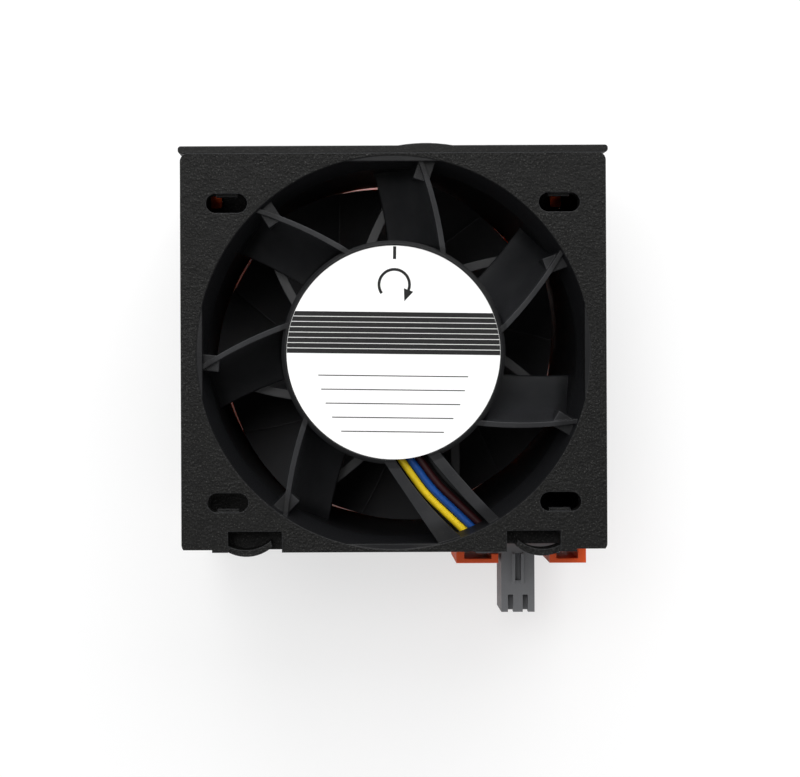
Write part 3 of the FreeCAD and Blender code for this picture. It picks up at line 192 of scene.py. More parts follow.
class FanBlades(bpy.types.PropertyGroup):
    """The leading lips that carry the impeller's blades on towards the inlet."""

    blades: how_many("Blades", "Blades of the impeller", 7)
    first_angle: angle("First blade", "Angle of the first blade", 36)
    root: spot("Root", "Leading edge at the hub: outwards and across", (0.0156, -0.005))
    middle: spot("Middle", "Leading edge half way: outwards and across", (0.0214, -0.0116))
    tip: spot("Tip", "Leading edge at the duct: outwards and across", (0.0282, -0.0206))
    inset: length("Inset", "From the blade's face to the middle of its thickness", 0.00075)
    hub_reach: length("Hub reach", "Radius where a lip starts, in the hub's wall", 0.0166)
    tip_reach: length("Tip reach", "Radius where a lip ends, short of the duct", 0.0276)
    height: length("Height", "Where a lip leaves the blade, from the inlet", 0.0102)
    drop: length("Drop", "How far a lip comes down to the inlet", 0.0042)
    sweep: angle("Sweep", "Angle that a lip covers", 17.4)
    thick_start: length("Thick end", "Thickness of a lip at the blade", 0.0009)
    thick_end: length("Thin end", "Thickness of a lip at its edge", 0.0004)


class FanMetals(bpy.types.PropertyGroup):
    """Colours of the metal parts."""

    steel_colour: colour("Steel", "Shaft, yoke, bearings and springs", (0.5, 0.5, 0.51))
    brass_colour: colour("Brass", "Bearing sleeve", (0.63, 0.44, 0.17))
    contact_colour: colour("Contact", "Plated contacts", (0.72, 0.53, 0.24))
    copper_colour: colour("Copper", "Enamelled winding", (0.5, 0.16, 0.055))
    core_colour: colour("Core", "Lamination stack", (0.27, 0.27, 0.29))
    can_colour: colour("Can", "Capacitor can", (0.55, 0.55, 0.57))
    magnet_colour: colour("Magnet", "Bonded ferrite", (0.035, 0.034, 0.033))
    magnet_fleck: colour("Magnet fleck", "Bright grains of the ferrite", (0.12, 0.12, 0.12))
    # Paler edges of the ferrite: partly wear, partly a painted highlight.
    magnet_edge: colour("Magnet edge", "Rubbed edges of the ferrite", (0.08, 0.08, 0.08))
    magnet_dust: colour("Magnet dust", "Dust on the ferrite", (0.1, 0.1, 0.1))
    stack_gap: colour("Stack gap", "Dark line between two laminations", (0.03, 0.03, 0.03))
    strand_gap: colour("Strand gap", "Dark line between two turns of the winding", (0.06, 0.015, 0.006))
    mask_colour: colour("Solder mask", "Green of the board", (0.016, 0.1, 0.03))
    lane_colour: colour("Lane", "Green over the board's copper lanes", (0.04, 0.2, 0.06))
    mask_shade: colour("Mask shade", "Darker clouds in the board's green", (0.01, 0.07, 0.02))
    lamination: length("Lamination", "Thickness of one lamination", 0.00035)
    strand: length("Strand", "Thickness of one turn of the winding", 0.00028)


class FanLeads(bpy.types.PropertyGroup):
    """Colours of the lead wires."""

    yellow: colour("Yellow", "First lead", (0.84, 0.6, 0.014))
    blue: colour("Blue", "Second lead", (0.008, 0.066, 0.29))
    red: colour("Dark red", "Third lead", (0.03, 0.006, 0.007))
    black: colour("Black", "Fourth lead", (0.01, 0.01, 0.01))


class FanPrint(bpy.types.PropertyGroup):
    """The hub label and what is printed on it."""

    film_colour: colour("Film", "White film", (0.86, 0.86, 0.855))
    ink_colour: colour("Ink", "Black print", (0.012, 0.012, 0.012))
    ink_height: length("Ink height", "Thickness of the print", 0.00002)
    tilt: angle("Tilt", "Turn of the print on the hub", -0.9)
    rim: length("Rim", "White left round the band's ends", 0.00004)
    band_low: length("Band foot", "Lower edge of the dark band, from the axis", -0.00024)
    band_high: length("Band head", "Upper edge of the dark band, from the axis", 0.00607)
    stripes: how_many("Stripes", "Dark stripes of the band", 8)
    stripe_gap: length("Stripe gap", "White left between two stripes", 0.0001)
    tick_width: length("Tick", "Width of the mark at the top", 0.00047)
    tick_length: length("Tick length", "Length of the mark at the top", 0.002)
    tick_inset: length("Tick inset", "From the band's rim to the mark", 0.0001)
    field_width: length("Field line", "Width of the lines of the empty fields", 0.00014)
    field_count: how_many("Fields", "Lines of the empty fields", 5)
    field_start: length("Field start", "From the band's foot to the first empty field", 0.0033)
    field_step: length("Field step", "Distance between the lines of the empty fields", 0.0021)
    field_reach: share("Field reach", "Share of the label's width that a line covers", 0.72)
    arrow_height: length("Arrow height", "Middle of the turning arrow, from the axis", 0.0102)
    arrow_radius: length("Arrow radius", "Radius of the turning arrow", 0.0023)
    arrow_width: length("Arrow width", "Width of the arrow's shaft", 0.00042)
    arrow_head: length("Arrow head", "Width of the arrow's head", 0.0015)
    arrow_start: angle("Arrow start", "Where the arrow's shaft starts", 215)
    arrow_end: angle("Arrow end", "Where the arrow's head stands", -20)


class FanStage(bpy.types.PropertyGroup):
    """Camera, floor and lamps."""

    camera_place: standpoint("Camera", "Where the camera stands", (-0.0088, 0.0016, 0.29))
    camera_roll: angle("Roll", "Turn of the camera about its own axis", -0.25)
    camera_lens: FloatProperty(name="Lens", description="Focal length in mm", default=74.9, min=1)
    shift_x: FloatProperty(name="Shift across", description="Share of the picture's width", default=0.0813)
    shift_y: FloatProperty(name="Shift up", description="Share of the picture's width", default=-0.0581)
    floor_colour: colour("Floor", "White table", (0.92, 0.92, 0.92))
    floor_lift: share("Floor lift", "How far the table is lifted to white for the eye", 0.58)
    lift_reach: length("Lift reach", "From the footprint to where the table is lifted in full", 0.004)
    floor_size: length("Floor size", "Side of the table", 4.0)
    sky_low: light_level("Sky rim", "Strength of the light from the sides", 0.9)
    sky_high: light_level("Sky crown", "Strength of the light from above", 0.36)
    key_power: lamp_power("Key", "Power of the key lamp", 9)
    key_size: length("Key size", "Side of the key lamp", 0.9)
    key_place: standpoint("Key place", "Where the key lamp stands", (0.1, 0.74, 0.52))
    fill_power: lamp_power("Fill", "Power of the fill lamp", 2.2)
    fill_size: length("Fill size", "Side of the fill lamp", 0.35)
    fill_place: standpoint("Fill place", "Where the fill lamp stands", (-0.21, 0.21, 0.7))


# Shader helpers

def put(tree, kind, values=None, **settings):
    """A new node, its settings and its inputs, each set to a value or joined to an output."""
    node = tree.nodes.new(kind)
    for key, value in settings.items():
        setattr(node, key, value)
    for key, value in (values or {}).items():
        if isinstance(value, bpy.types.NodeSocket):
            tree.links.new(value, node.inputs[key])
        else:
            node.inputs[key].default_value = value
    return node


def sum_of(tree, operation, first, second=0.0):
    """A Math node's output."""
    return put(tree, "ShaderNodeMath", {0: first, 1: second}, operation=operation).outputs[0]


def ranged(tree, value, low, high, first=0.0, last=1.0):
    """value from low to high, eased on to first to last."""
    node = put(
        tree, "ShaderNodeMapRange", {"Value": value, 1: low, 2: high, 3: first, 4: last},
        interpolation_type="SMOOTHSTEP",
    )
    return node.outputs["Result"]


def shaded(base, factor, lift=0.0):
    """A darker or paler shade of a colour: times a factor, plus a lift."""
    return (*(min(1.0, factor * part + lift) for part in base[:3]), 1.0)


def tinted(tree, mask, first, second, amount=1.0):
    """The first colour where the mask is 0, and where it is 1 the second, by the amount given."""
    if amount < 1.0:
        mask = sum_of(tree, "MULTIPLY", mask, amount)
    node = put(tree, "ShaderNodeMix", {0: mask, 6: first, 7: second}, data_type="RGBA")
    return node.outputs[2]


def glossed(tree, height, dull, bright):
    """A roughness that goes from dull in the hollows of a texture to bright on its heights."""
    return ranged(tree, height, NOISE_LOW, NOISE_HIGH, dull, bright)


def noise(tree, place, scale, detail=2.0, rough=0.5):
    """A noise value."""
    values = {"Vector": place, "Scale": scale, "Detail": detail, "Roughness": rough}
    return put(tree, "ShaderNodeTexNoise", values).outputs[0]


def surface_place(tree):
    """The point in the object's own frame."""
    return put(tree, "ShaderNodeTexCoord").outputs["Object"]


def new_group(name, inputs, outputs):
    """An empty shader node group with its sockets: the tree, its input node and its output node."""
    tree = bpy.data.node_groups.new(name, "ShaderNodeTree")
    for label, default in inputs:
        socket = tree.interface.new_socket(label, in_out="INPUT", socket_type="NodeSocketFloat")
        socket.default_value = default
    for label, kind in outputs:
        tree.interface.new_socket(label, in_out="OUTPUT", socket_type="NodeSocket" + kind)
    return tree, tree.nodes.new("NodeGroupInput"), tree.nodes.new("NodeGroupOutput")


def grain_group():
    """Grain of a moulded face: its height, its bright flecks and a slow cloud."""
    outputs = (("Height", "Float"), ("Fleck", "Float"), ("Cloud", "Float"))
    tree, source, sink = new_group("Moulded grain", (("Size", 0.0004), ("Cloud Size", 0.014)), outputs)
    place = surface_place(tree)
    scale = sum_of(tree, "DIVIDE", 1.0, source.outputs["Size"])
    height = noise(tree, place, scale, 3.0, 0.6)
    fine = noise(tree, place, sum_of(tree, "MULTIPLY", scale, FLECK_FINENESS), 1.0, 0.5)
    cloud = noise(tree, place, sum_of(tree, "DIVIDE", 1.0, source.outputs["Cloud Size"]), 4.0, 0.55)
    tree.links.new(height, sink.inputs["Height"])
    tree.links.new(ranged(tree, fine, FLECK_LOW, FLECK_HIGH), sink.inputs["Fleck"])
    tree.links.new(ranged(tree, cloud, NOISE_LOW, NOISE_HIGH), sink.inputs["Cloud"])
    return tree


def edge_group():
    """Rounded edges: the rounded normal and a mask of the edge, which the finishes pale partly as wear and
    partly as a painted highlight.
    """
    tree, source, sink = new_group(
        "Worn and lit edge", (("Radius", 0.0002),), (("Normal", "Vector"), ("Edge", "Float"))
    )
    bevel = put(tree, "ShaderNodeBevel", {"Radius": source.outputs["Radius"]}, samples=BEVEL_SAMPLES)
    rounded = bevel.outputs[0]
    flat = put(tree, "ShaderNodeNewGeometry").outputs["Normal"]
    agree = put(tree, "ShaderNodeVectorMath", {0: rounded, 1: flat}, operation="DOT_PRODUCT").outputs["Value"]
    tree.links.new(rounded, sink.inputs["Normal"])
    tree.links.new(ranged(tree, agree, EDGE_STARTS, EDGE_FULL), sink.inputs["Edge"])
    return tree


def dust_group():
    """Dust on faces that look up: a mask of specks and thin drifts."""
    tree, source, sink = new_group("Settled dust", (("Amount", 0.3),), (("Mask", "Float"),))
    place = surface_place(tree)
    normal = put(tree, "ShaderNodeNewGeometry").outputs["Normal"]
    up = ranged(tree, put(tree, "ShaderNodeSeparateXYZ", {0: normal}).outputs["Z"], 0.15, 0.95)
    drift = ranged(tree, noise(tree, place, DRIFT_SCALE, 4.0, 0.6), 0.42, 0.78)
    specks = ranged(tree, noise(tree, place, SPECK_SCALE, 1.0, 0.5), 0.70, 0.80)
    both = sum_of(tree, "ADD", sum_of(tree, "MULTIPLY", drift, DRIFT_SHARE), specks)
    mask = sum_of(tree, "MULTIPLY", sum_of(tree, "MULTIPLY", both, up), source.outputs["Amount"])
    tree.links.new(mask, sink.inputs["Mask"])
    return tree


def streak_group():
    """Fine streaks along the object's own axis or round it, for drawn, turned and extruded surfaces."""
    tree, source, sink = new_group(
        "Drawn streaks", (("Across", 3000.0), ("Along", 60.0)), (("Streak", "Float"),)
    )
    part = put(tree, "ShaderNodeSeparateXYZ", {0: surface_place(tree)})
    radius = put(
        tree, "ShaderNodeVectorMath",
        {0: put(tree, "ShaderNodeCombineXYZ", {0: part.outputs[0], 1: part.outputs[1]}).outputs[0]},
        operation="LENGTH",
    ).outputs["Value"]
    place = put(
        tree, "ShaderNodeCombineXYZ",
        {
            0: sum_of(tree, "MULTIPLY", radius, source.outputs["Across"]),
            1: sum_of(tree, "MULTIPLY", part.outputs[0], source.outputs["Along"]),
            2: sum_of(tree, "MULTIPLY", part.outputs[2], source.outputs["Across"]),
        },
    ).outputs[0]
    tree.links.new(noise(tree, place, 1.0, 3.0, 0.6), sink.inputs["Streak"])
    return tree


GROUP_MAKERS = {"grain": grain_group, "edge": edge_group, "dust": dust_group, "streak": streak_group}
GROUPS = {}


def effect(tree, name, **values):
    """One of the shared effects, placed in a material with its own values."""
    if name not in GROUPS:
        GROUPS[name] = GROUP_MAKERS[name]()
    node = tree.nodes.new("ShaderNodeGroup")
    node.node_tree = GROUPS[name]
    for key, value in values.items():
        node.inputs[key.replace("_", " ").title()].default_value = value
    return node


def new_material(name, **constants):
    """A material with a Principled shader: its tree and the shader."""
    material = bpy.data.materials.new(name)
    material.use_nodes = True
    tree = material.node_tree
    tree.nodes.clear()
    shader = put(tree, "ShaderNodeBsdfPrincipled")
    output = tree.nodes.new("ShaderNodeOutputMaterial")
    tree.links.new(shader.outputs[0], output.inputs["Surface"])
    for key, value in constants.items():
        shader.inputs[key.replace("_", " ")].default_value = value
    return material, tree, shader


def feed(tree, shader, **sockets):
    """Joins outputs to the shader's inputs."""
    for key, socket in sockets.items():
        tree.links.new(socket, shader.inputs[key.replace("_", " ")])


def bumped(tree, height, depth, strength, normal=None):
    """A Bump node's normal."""
    values = {"Height": height, "Distance": depth, "Strength": strength}
    if normal is not None:
        values["Normal"] = normal
    return put(tree, "ShaderNodeBump", values).outputs[0]


# Finishes

def moulding(name, base, fleck, grain, edge, rub_and_light_colour, rough, dust, dust_colour, bump=0.35, gleam=0.4):
    """A moulded plastic: grain, slow colour change, edges paled partly as wear and partly as a painted
    highlight, and settled dust.
    """
    material, tree, shader = new_material(name, Specular_IOR_Level=gleam)
    texture = effect(tree, "grain", size=grain)
    rounded = effect(tree, "edge", radius=edge)
    settled = effect(tree, "dust", amount=dust)
    shade = shaded(base, 0.8)
    tone = tinted(tree, texture.outputs["Cloud"], shade, base)
    tone = tinted(tree, texture.outputs["Fleck"], tone, fleck, FLECK_SHARE)
    # Paler edges: partly wear, partly a painted highlight.
    tone = tinted(tree, rounded.outputs["Edge"], tone, rub_and_light_colour, RUB_AND_LIGHT_SHARE)
    tone = tinted(tree, settled.outputs["Mask"], tone, dust_colour)
    gloss = glossed(tree, texture.outputs["Height"], rough + GLOSS_SPREAD, rough - GLOSS_SPREAD)
    normal = bumped(tree, texture.outputs["Height"], GRAIN_RISE * grain, bump, rounded.outputs["Normal"])
    feed(tree, shader, Base_Color=tone, Roughness=gloss, Normal=normal)
    return material


def metal(name, base, rough, across=3000.0, along=60.0, bump=0.08):
    """A drawn or turned metal with fine streaks."""
    material, tree, shader = new_material(name, Metallic=1.0)
    streaks = effect(tree, "streak", across=across, along=along)
    texture = effect(tree, "grain", size=0.0006)
    dull = shaded(base, 0.72)
    tone = tinted(tree, streaks.outputs["Streak"], dull, base)
    tone = tinted(tree, texture.outputs["Cloud"], tone, dull, 0.3)
    gloss = glossed(tree, streaks.outputs["Streak"], rough + 0.1, rough - 0.06)
    feed(
        tree, shader, Base_Color=tone, Roughness=gloss,
        Normal=bumped(tree, streaks.outputs["Streak"], 0.00003, bump),
    )
    return material


def banded(name, base, gap_colour, step, metallic, rough):
    """Stacked layers across the axis: laminations or turns of wire."""
    material, tree, shader = new_material(name, Metallic=metallic)
    height = put(tree, "ShaderNodeSeparateXYZ", {0: surface_place(tree)}).outputs["Z"]
    wave = sum_of(tree, "SINE", sum_of(tree, "MULTIPLY", height, 2 * math.pi / step))
    layer = ranged(tree, wave, -0.9, 0.2)
    texture = effect(tree, "grain", size=0.0003)
    tone = tinted(tree, layer, gap_colour, base)
    dull = shaded(base, 0.6)
    tone = tinted(tree, texture.outputs["Cloud"], tone, dull, 0.5)
    gloss = glossed(tree, texture.outputs["Height"], rough + 0.1, rough - 0.1)
    feed(
        tree, shader, Base_Color=tone, Roughness=gloss, Normal=bumped(tree, layer, 0.2 * step, 0.6)
    )
    return material


def housing_finish(tune):
    """The housing: grained outside, smooth and bluer inside the duct, with painted shade on the duct's wall
    and on the hub.
    """
    material, tree, shader = new_material("housing_black", Specular_IOR_Level=0.18)
    part = put(tree, "ShaderNodeSeparateXYZ", {0: surface_place(tree)})
    across = put(tree, "ShaderNodeCombineXYZ", {0: part.outputs[0], 1: part.outputs[1]}).outputs[0]
    radius = put(tree, "ShaderNodeVectorMath", {0: across}, operation="LENGTH").outputs["Value"]
    outside = ranged(tree, radius, tune.bore_radius + GRAIN_STARTS, tune.bore_radius + GRAIN_FULL)
    coarse = effect(tree, "grain", size=tune.grain_size, cloud_size=tune.mottle_size)
    fine = effect(tree, "grain", size=tune.fine_grain, cloud_size=0.008)
    rounded = effect(tree, "edge", radius=tune.edge_radius)
    settled = effect(tree, "dust", amount=HOUSING_DUST)
    dim = shaded(tune.frame_colour, 0.72)
    skin = tinted(tree, coarse.outputs["Cloud"], dim, tune.frame_colour)
    skin = tinted(tree, coarse.outputs["Fleck"], skin, tune.fleck_colour, HOUSING_FLECKS)
    deep = shaded(tune.bore_colour, 0.75)
    bore = tinted(tree, fine.outputs["Cloud"], deep, tune.bore_colour)
    # Painted shade: towards the duct's wall and over the hub the bore darkens to the wall shade colour.
    wall = ranged(tree, radius, tune.wall_shade_radius, tune.wall_shade_radius + WALL_FADE)
    hub = ranged(tree, radius, tune.hub_radius, tune.hub_radius - HUB_FADE)
    painted_shade = sum_of(tree, "MAXIMUM", wall, hub)
    bore = tinted(tree, painted_shade, bore, tune.wall_shade_colour)
    bore = tinted(tree, settled.outputs["Mask"], bore, tune.dust_colour)
    tone = tinted(tree, outside, bore, skin)
    # Paler edges, partly wear and partly a painted highlight: outside the duct all edges, inside it only
    # those above the edge light level and away from the painted shade.
    lit_top = ranged(tree, part.outputs[2], tune.edge_light_level - EDGE_LIGHT_FADE, tune.edge_light_level)
    inner = sum_of(tree, "MULTIPLY", lit_top, sum_of(tree, "SUBTRACT", 1.0, painted_shade))
    worn_and_lit = sum_of(tree, "MULTIPLY", rounded.outputs["Edge"], sum_of(tree, "MAXIMUM", inner, outside))
    tone = tinted(tree, worn_and_lit, tone, tune.rub_and_light_colour, HOUSING_RUB_AND_LIGHT)
    skin_gloss = glossed(tree, coarse.outputs["Height"], 0.64, 0.52)
    patch = sum_of(tree, "MULTIPLY", coarse.outputs["Cloud"], PATCH_GLOSS)
    skin_gloss = sum_of(tree, "SUBTRACT", skin_gloss, patch)
    bore_gloss = glossed(tree, fine.outputs["Height"], 0.5, 0.36)
    gloss = put(tree, "ShaderNodeMix", {0: outside, 2: bore_gloss, 3: skin_gloss}).outputs[0]
    rise = sum_of(tree, "MULTIPLY", fine.outputs["Height"], BORE_RISE)
    lift = put(tree, "ShaderNodeMix", {0: outside, 2: rise, 3: coarse.outputs["Height"]}).outputs[0]
    normal = bumped(tree, lift, HOUSING_RISE * tune.grain_size, 1.0, rounded.outputs["Normal"])
    feed(tree, shader, Base_Color=tone, Roughness=gloss, Normal=normal)
    return material


def film_finish(tune):
    """White label film: faint mottle, a soft sheen and a very slight waviness."""
    material, tree, shader = new_material("label_white", Coat_Weight=0.25, Coat_Roughness=0.2)
    texture = effect(tree, "grain", size=0.0005)
    grey = shaded(tune.film_colour, 0.96)
    tone = tinted(tree, texture.outputs["Cloud"], grey, tune.film_colour)
    gloss = glossed(tree, texture.outputs["Height"], 0.42, 0.32)
    normal = bumped(tree, texture.outputs["Height"], 0.00002, 0.1)
    feed(tree, shader, Base_Color=tone, Roughness=gloss, Normal=normal)
    return material


def ink_finish(tune):
    """Black print with thin spots where the film shows through."""
    material, tree, shader = new_material("label_ink", Specular_IOR_Level=0.15)
    texture = effect(tree, "grain", size=0.00012)
    thin = shaded(tune.ink_colour, 1.0, 0.03)
    tone = tinted(tree, texture.outputs["Fleck"], tune.ink_colour, thin)
    gloss = glossed(tree, texture.outputs["Height"], 0.62, 0.5)
    feed(tree, shader, Base_Color=tone, Roughness=gloss)
    return material


def sheath_finish(name, base):
    """Soft wire sheath: a slight sheen, a fine grain and a little grime."""
    material, tree, shader = new_material(name, Specular_IOR_Level=0.32)
    texture = effect(tree, "grain", size=0.00025, cloud_size=0.004)
    grime = shaded(base, 0.55)
    tone = tinted(tree, texture.outputs["Cloud"], base, grime, 0.45)
    gloss = glossed(tree, texture.outputs["Height"], 0.46, 0.32)
    normal = bumped(tree, texture.outputs["Height"], 0.00003, 0.2)
    feed(tree, shader, Base_Color=tone, Roughness=gloss, Normal=normal)
    return material


def board_finish(tune):
    """Green solder mask over faint copper lanes."""
    material, tree, shader = new_material("board_green", Coat_Weight=0.4, Coat_Roughness=0.15)
    place = surface_place(tree)
    cells = put(
        tree, "ShaderNodeTexBrick",
        {"Vector": place, "Scale": 420.0, "Mortar Size": 0.06, "Color1": (0, 0, 0, 1), "Color2": (0, 0, 0, 1),
         "Mortar": (1, 1, 1, 1)},
    ).outputs["Fac"]
    texture = effect(tree, "grain", size=0.0004)
    tone = tinted(tree, cells, tune.mask_colour, tune.lane_colour)
    tone = tinted(tree, texture.outputs["Cloud"], tone, tune.mask_shade, 0.4)
    gloss = glossed(tree, texture.outputs["Height"], 0.4, 0.28)
    feed(tree, shader, Base_Color=tone, Roughness=gloss, Normal=bumped(tree, cells, 0.00004, 0.4))
    return material


def finish_node(name, material):
    """Puts a material on a node of the part."""
    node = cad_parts[name]
    if not node.material_slots:
        raise RuntimeError(f"{name} has no material slot")
    for slot in node.material_slots:
        slot.material = material


def new_piece(name, form, material):
    """Turns a finished form into an object with one material."""
    bmesh.ops.recalc_face_normals(form, faces=form.faces)
    mesh = bpy.data.meshes.new(name)
    form.to_mesh(mesh)
    form.free()
    mesh.materials.append(material)
    piece = bpy.data.objects.new(name, mesh)
    bpy.context.scene.collection.objects.link(piece)
    return piece


# Hub print

def print_plates(name, outlines, base, material, tune):
    """A piece of print: each outline is a thin plate of its own, standing on the film."""
    form = bmesh.new()
    turn = Matrix.Rotation(tune.tilt, 4, "Z")
    for outline in outlines:
        low = [form.verts.new(turn @ Vector((x, y, base))) for x, y in outline]
        high = [form.verts.new(turn @ Vector((x, y, base + tune.ink_height))) for x, y in outline]
        form.faces.new(high)
        form.faces.new(low[::-1])
        count = len(outline)
        for here in range(count):
            there = (here + 1) % count
            form.faces.new((low[here], low[there], high[there], high[here]))
    piece = new_piece(name, form, material)
    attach(piece, "frame")


def chord_strip(radius, low, high):
    """A strip between two heights whose ends follow a circle."""
    right = []
    for step in range(STRIP_STEPS + 1):
        y = low + (high - low) * step / STRIP_STEPS
        right.append((math.sqrt(radius * radius - y * y), y))
    return right + [(-x, y) for x, y in reversed(right)]


def bar(x0, x1, y0, y1):
    """A rectangle."""
    return [(x0, y0), (x1, y0), (x1, y1), (x0, y1)]


def arc_arrow(tune):
    """The turning arrow: its bent shaft and its head, as two outlines."""
    middle = Vector((0, tune.arrow_height))
    outer, inner = [], []
    for step in range(ARROW_STEPS + 1):
        turn = tune.arrow_start + (tune.arrow_end - tune.arrow_start) * step / ARROW_STEPS
        way = Vector((math.cos(turn), math.sin(turn)))
        outer.append(middle + way * (tune.arrow_radius + tune.arrow_width / 2))
        inner.append(middle + way * (tune.arrow_radius - tune.arrow_width / 2))
    out = Vector((math.cos(tune.arrow_end), math.sin(tune.arrow_end)))
    way_round = 1 if tune.arrow_end > tune.arrow_start else -1
    along = Vector((-out.y, out.x)) * way_round
    neck = middle + out * tune.arrow_radius
    half = out * tune.arrow_head / 2
    point = [neck + half, neck + along * tune.arrow_head * ARROW_POINT, neck - half]
    return [outer + inner[::-1], point]


# Impeller lips

def leading_edge(tune):
    """Points along a blade's leading edge, from the hub's wall to the lip's tip."""
    near, half, far = tune.root, tune.middle, tune.tip
    points = []
    for step in range(EDGE_SAMPLES + 1):
        out = near[0] + (far[0] - near[0]) * step / EDGE_SAMPLES
        weights = (
            (out - half[0]) * (out - far[0]) / ((near[0] - half[0]) * (near[0] - far[0])),
            (out - near[0]) * (out - far[0]) / ((half[0] - near[0]) * (half[0] - far[0])),
            (out - near[0]) * (out - half[0]) / ((far[0] - near[0]) * (far[0] - half[0])),
        )
        across = sum(weight * station[1] for weight, station in zip(weights, (near, half, far)))
        point = Vector((out, across - tune.inset, 0))
        if tune.hub_reach <= point.length <= tune.tip_reach:
            points.append(point)
    last = len(points) - 1
    return [points[round(last * pick / LIP_POINTS)] for pick in range(LIP_POINTS + 1)]


def add_lip(form, edge, turn, tune):
    """One lip: a thin plate that carries on from a blade's leading edge, round the axis and down."""
    rows = []
    for step in range(LIP_STEPS + 1):
        part = step / LIP_STEPS
        level = tune.height - tune.drop * part * (1 + LIP_BEND - LIP_BEND * part)
        half = (tune.thick_start + (tune.thick_end - tune.thick_start) * part) / 2
        spin = Matrix.Rotation(turn - tune.sweep * part, 4, "Z")
        upper = [form.verts.new(spin @ point + Vector((0, 0, level + half))) for point in edge]
        lower = [form.verts.new(spin @ point + Vector((0, 0, level - half))) for point in edge]
        rows.append(upper + lower[::-1])
    count = len(rows[0])
    for here, there in zip(rows, rows[1:]):
        for side in range(count):
            after = (side + 1) % count
            form.faces.new((here[side], here[after], there[after], there[side]))
    for row in (rows[0], rows[-1]):
        for side in range(len(edge) - 1):
            form.faces.new((row[side], row[side + 1], row[count - 2 - side], row[count - 1 - side]))


# Stage

def footprint_distance(tree):
    """How far a point of the table lies outside the housing's footprint."""
    low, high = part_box("fan_housing")
    part = put(tree, "ShaderNodeSeparateXYZ", {0: surface_place(tree)})
    reach = []
    for axis in (0, 1):
        off = sum_of(tree, "SUBTRACT", part.outputs[axis], (low[axis] + high[axis]) / 2)
        reach.append(
            sum_of(
                tree, "MAXIMUM",
                sum_of(tree, "SUBTRACT", sum_of(tree, "ABSOLUTE", off), (high[axis] - low[axis]) / 2),
            )
        )
    outside = put(tree, "ShaderNodeCombineXYZ", {0: reach[0], 1: reach[1]}).outputs[0]
    return put(tree, "ShaderNodeVectorMath", {0: outside}, operation="LENGTH").outputs["Value"]


def module_middle():
    """The middle of the module."""
    low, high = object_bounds()
    return (low + high) / 2


# Operators

class FAN_OT_blade_lips(bpy.types.Operator):
    """Carry the impeller's blades on towards the inlet with thin leading lips"""

    bl_idname = "fan.blade_lips"
    bl_label = "Add blade lips"

    def execute(self, context):
        tune = context.scene.fan_blades
        edge = leading_edge(tune)
        form = bmesh.new()
        for blade in range(tune.blades):
            add_lip(form, edge, tune.first_angle + blade * 2 * math.pi / tune.blades, tune)
        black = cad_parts["impeller"].material_slots[0].material
        lips = new_piece("blade_lips", form, black)
        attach(lips, "rotor")
        return {"FINISHED"}


class FAN_OT_mouldings(bpy.types.Operator):
    """Give the housing, plate, guard, bracket, rotor and connector their moulded finishes"""

    bl_idname = "fan.mouldings"
    bl_label = "Finish mouldings"

    def execute(self, context):
        tune = context.scene.fan_mouldings
        finish_node("fan_housing", housing_finish(tune))
        black = dict(
            fleck=tune.fleck_colour, grain=tune.grain_size, edge=tune.edge_radius,
            rub_and_light_colour=tune.rub_and_light_colour, dust_colour=tune.dust_colour,
        )
        plate = dict(black, rough=0.54, dust=0.02, bump=0.5, gleam=0.22)
        finish_node("top_plate", moulding("plate_black", tune.frame_colour, **plate))
        smooth = dict(black, grain=tune.fine_grain)
        blades = dict(smooth, fleck=tune.rotor_colour, rub_and_light_colour=tune.rotor_colour, rough=0.45, dust=0.03)
        finish_node("impeller", moulding("impeller_black", tune.rotor_colour, **blades))
        epoxy = moulding("epoxy_black", tune.epoxy_colour, rough=0.5, dust=0.02, **smooth)
        finish_node("driver_chip", epoxy)
        finish_node("hall_sensor", epoxy)
        tinted_parts = (
            ("inlet_guard", "guard_orange", tune.orange_colour, 0.5, 0.03, 0.12),
            ("connector_bracket", "bracket_orange", tune.orange_colour, 0.4, 0.02, 0.4),
            ("connector_housing", "connector_grey", tune.connector_colour, 0.45, 0.02, 0.4),
            ("upper_insulator", "upper_nylon", tune.nylon_colour, 0.4, 0.02, 0.4),
            ("lower_insulator", "lower_nylon", tune.nylon_colour, 0.4, 0.02, 0.4),
        )
        for node, name, base, rough, dust, gleam in tinted_parts:
            # Paler flecks, and paler edges that are partly wear and partly a painted highlight.
            pale = shaded(base, 1.25, 0.02)
            look = moulding(
                name, base, fleck=pale, grain=tune.fine_grain, edge=tune.edge_radius, rub_and_light_colour=pale,
                rough=rough, dust=dust, dust_colour=tune.dust_colour, gleam=gleam,
            )
            finish_node(node, look)
        return {"FINISHED"}


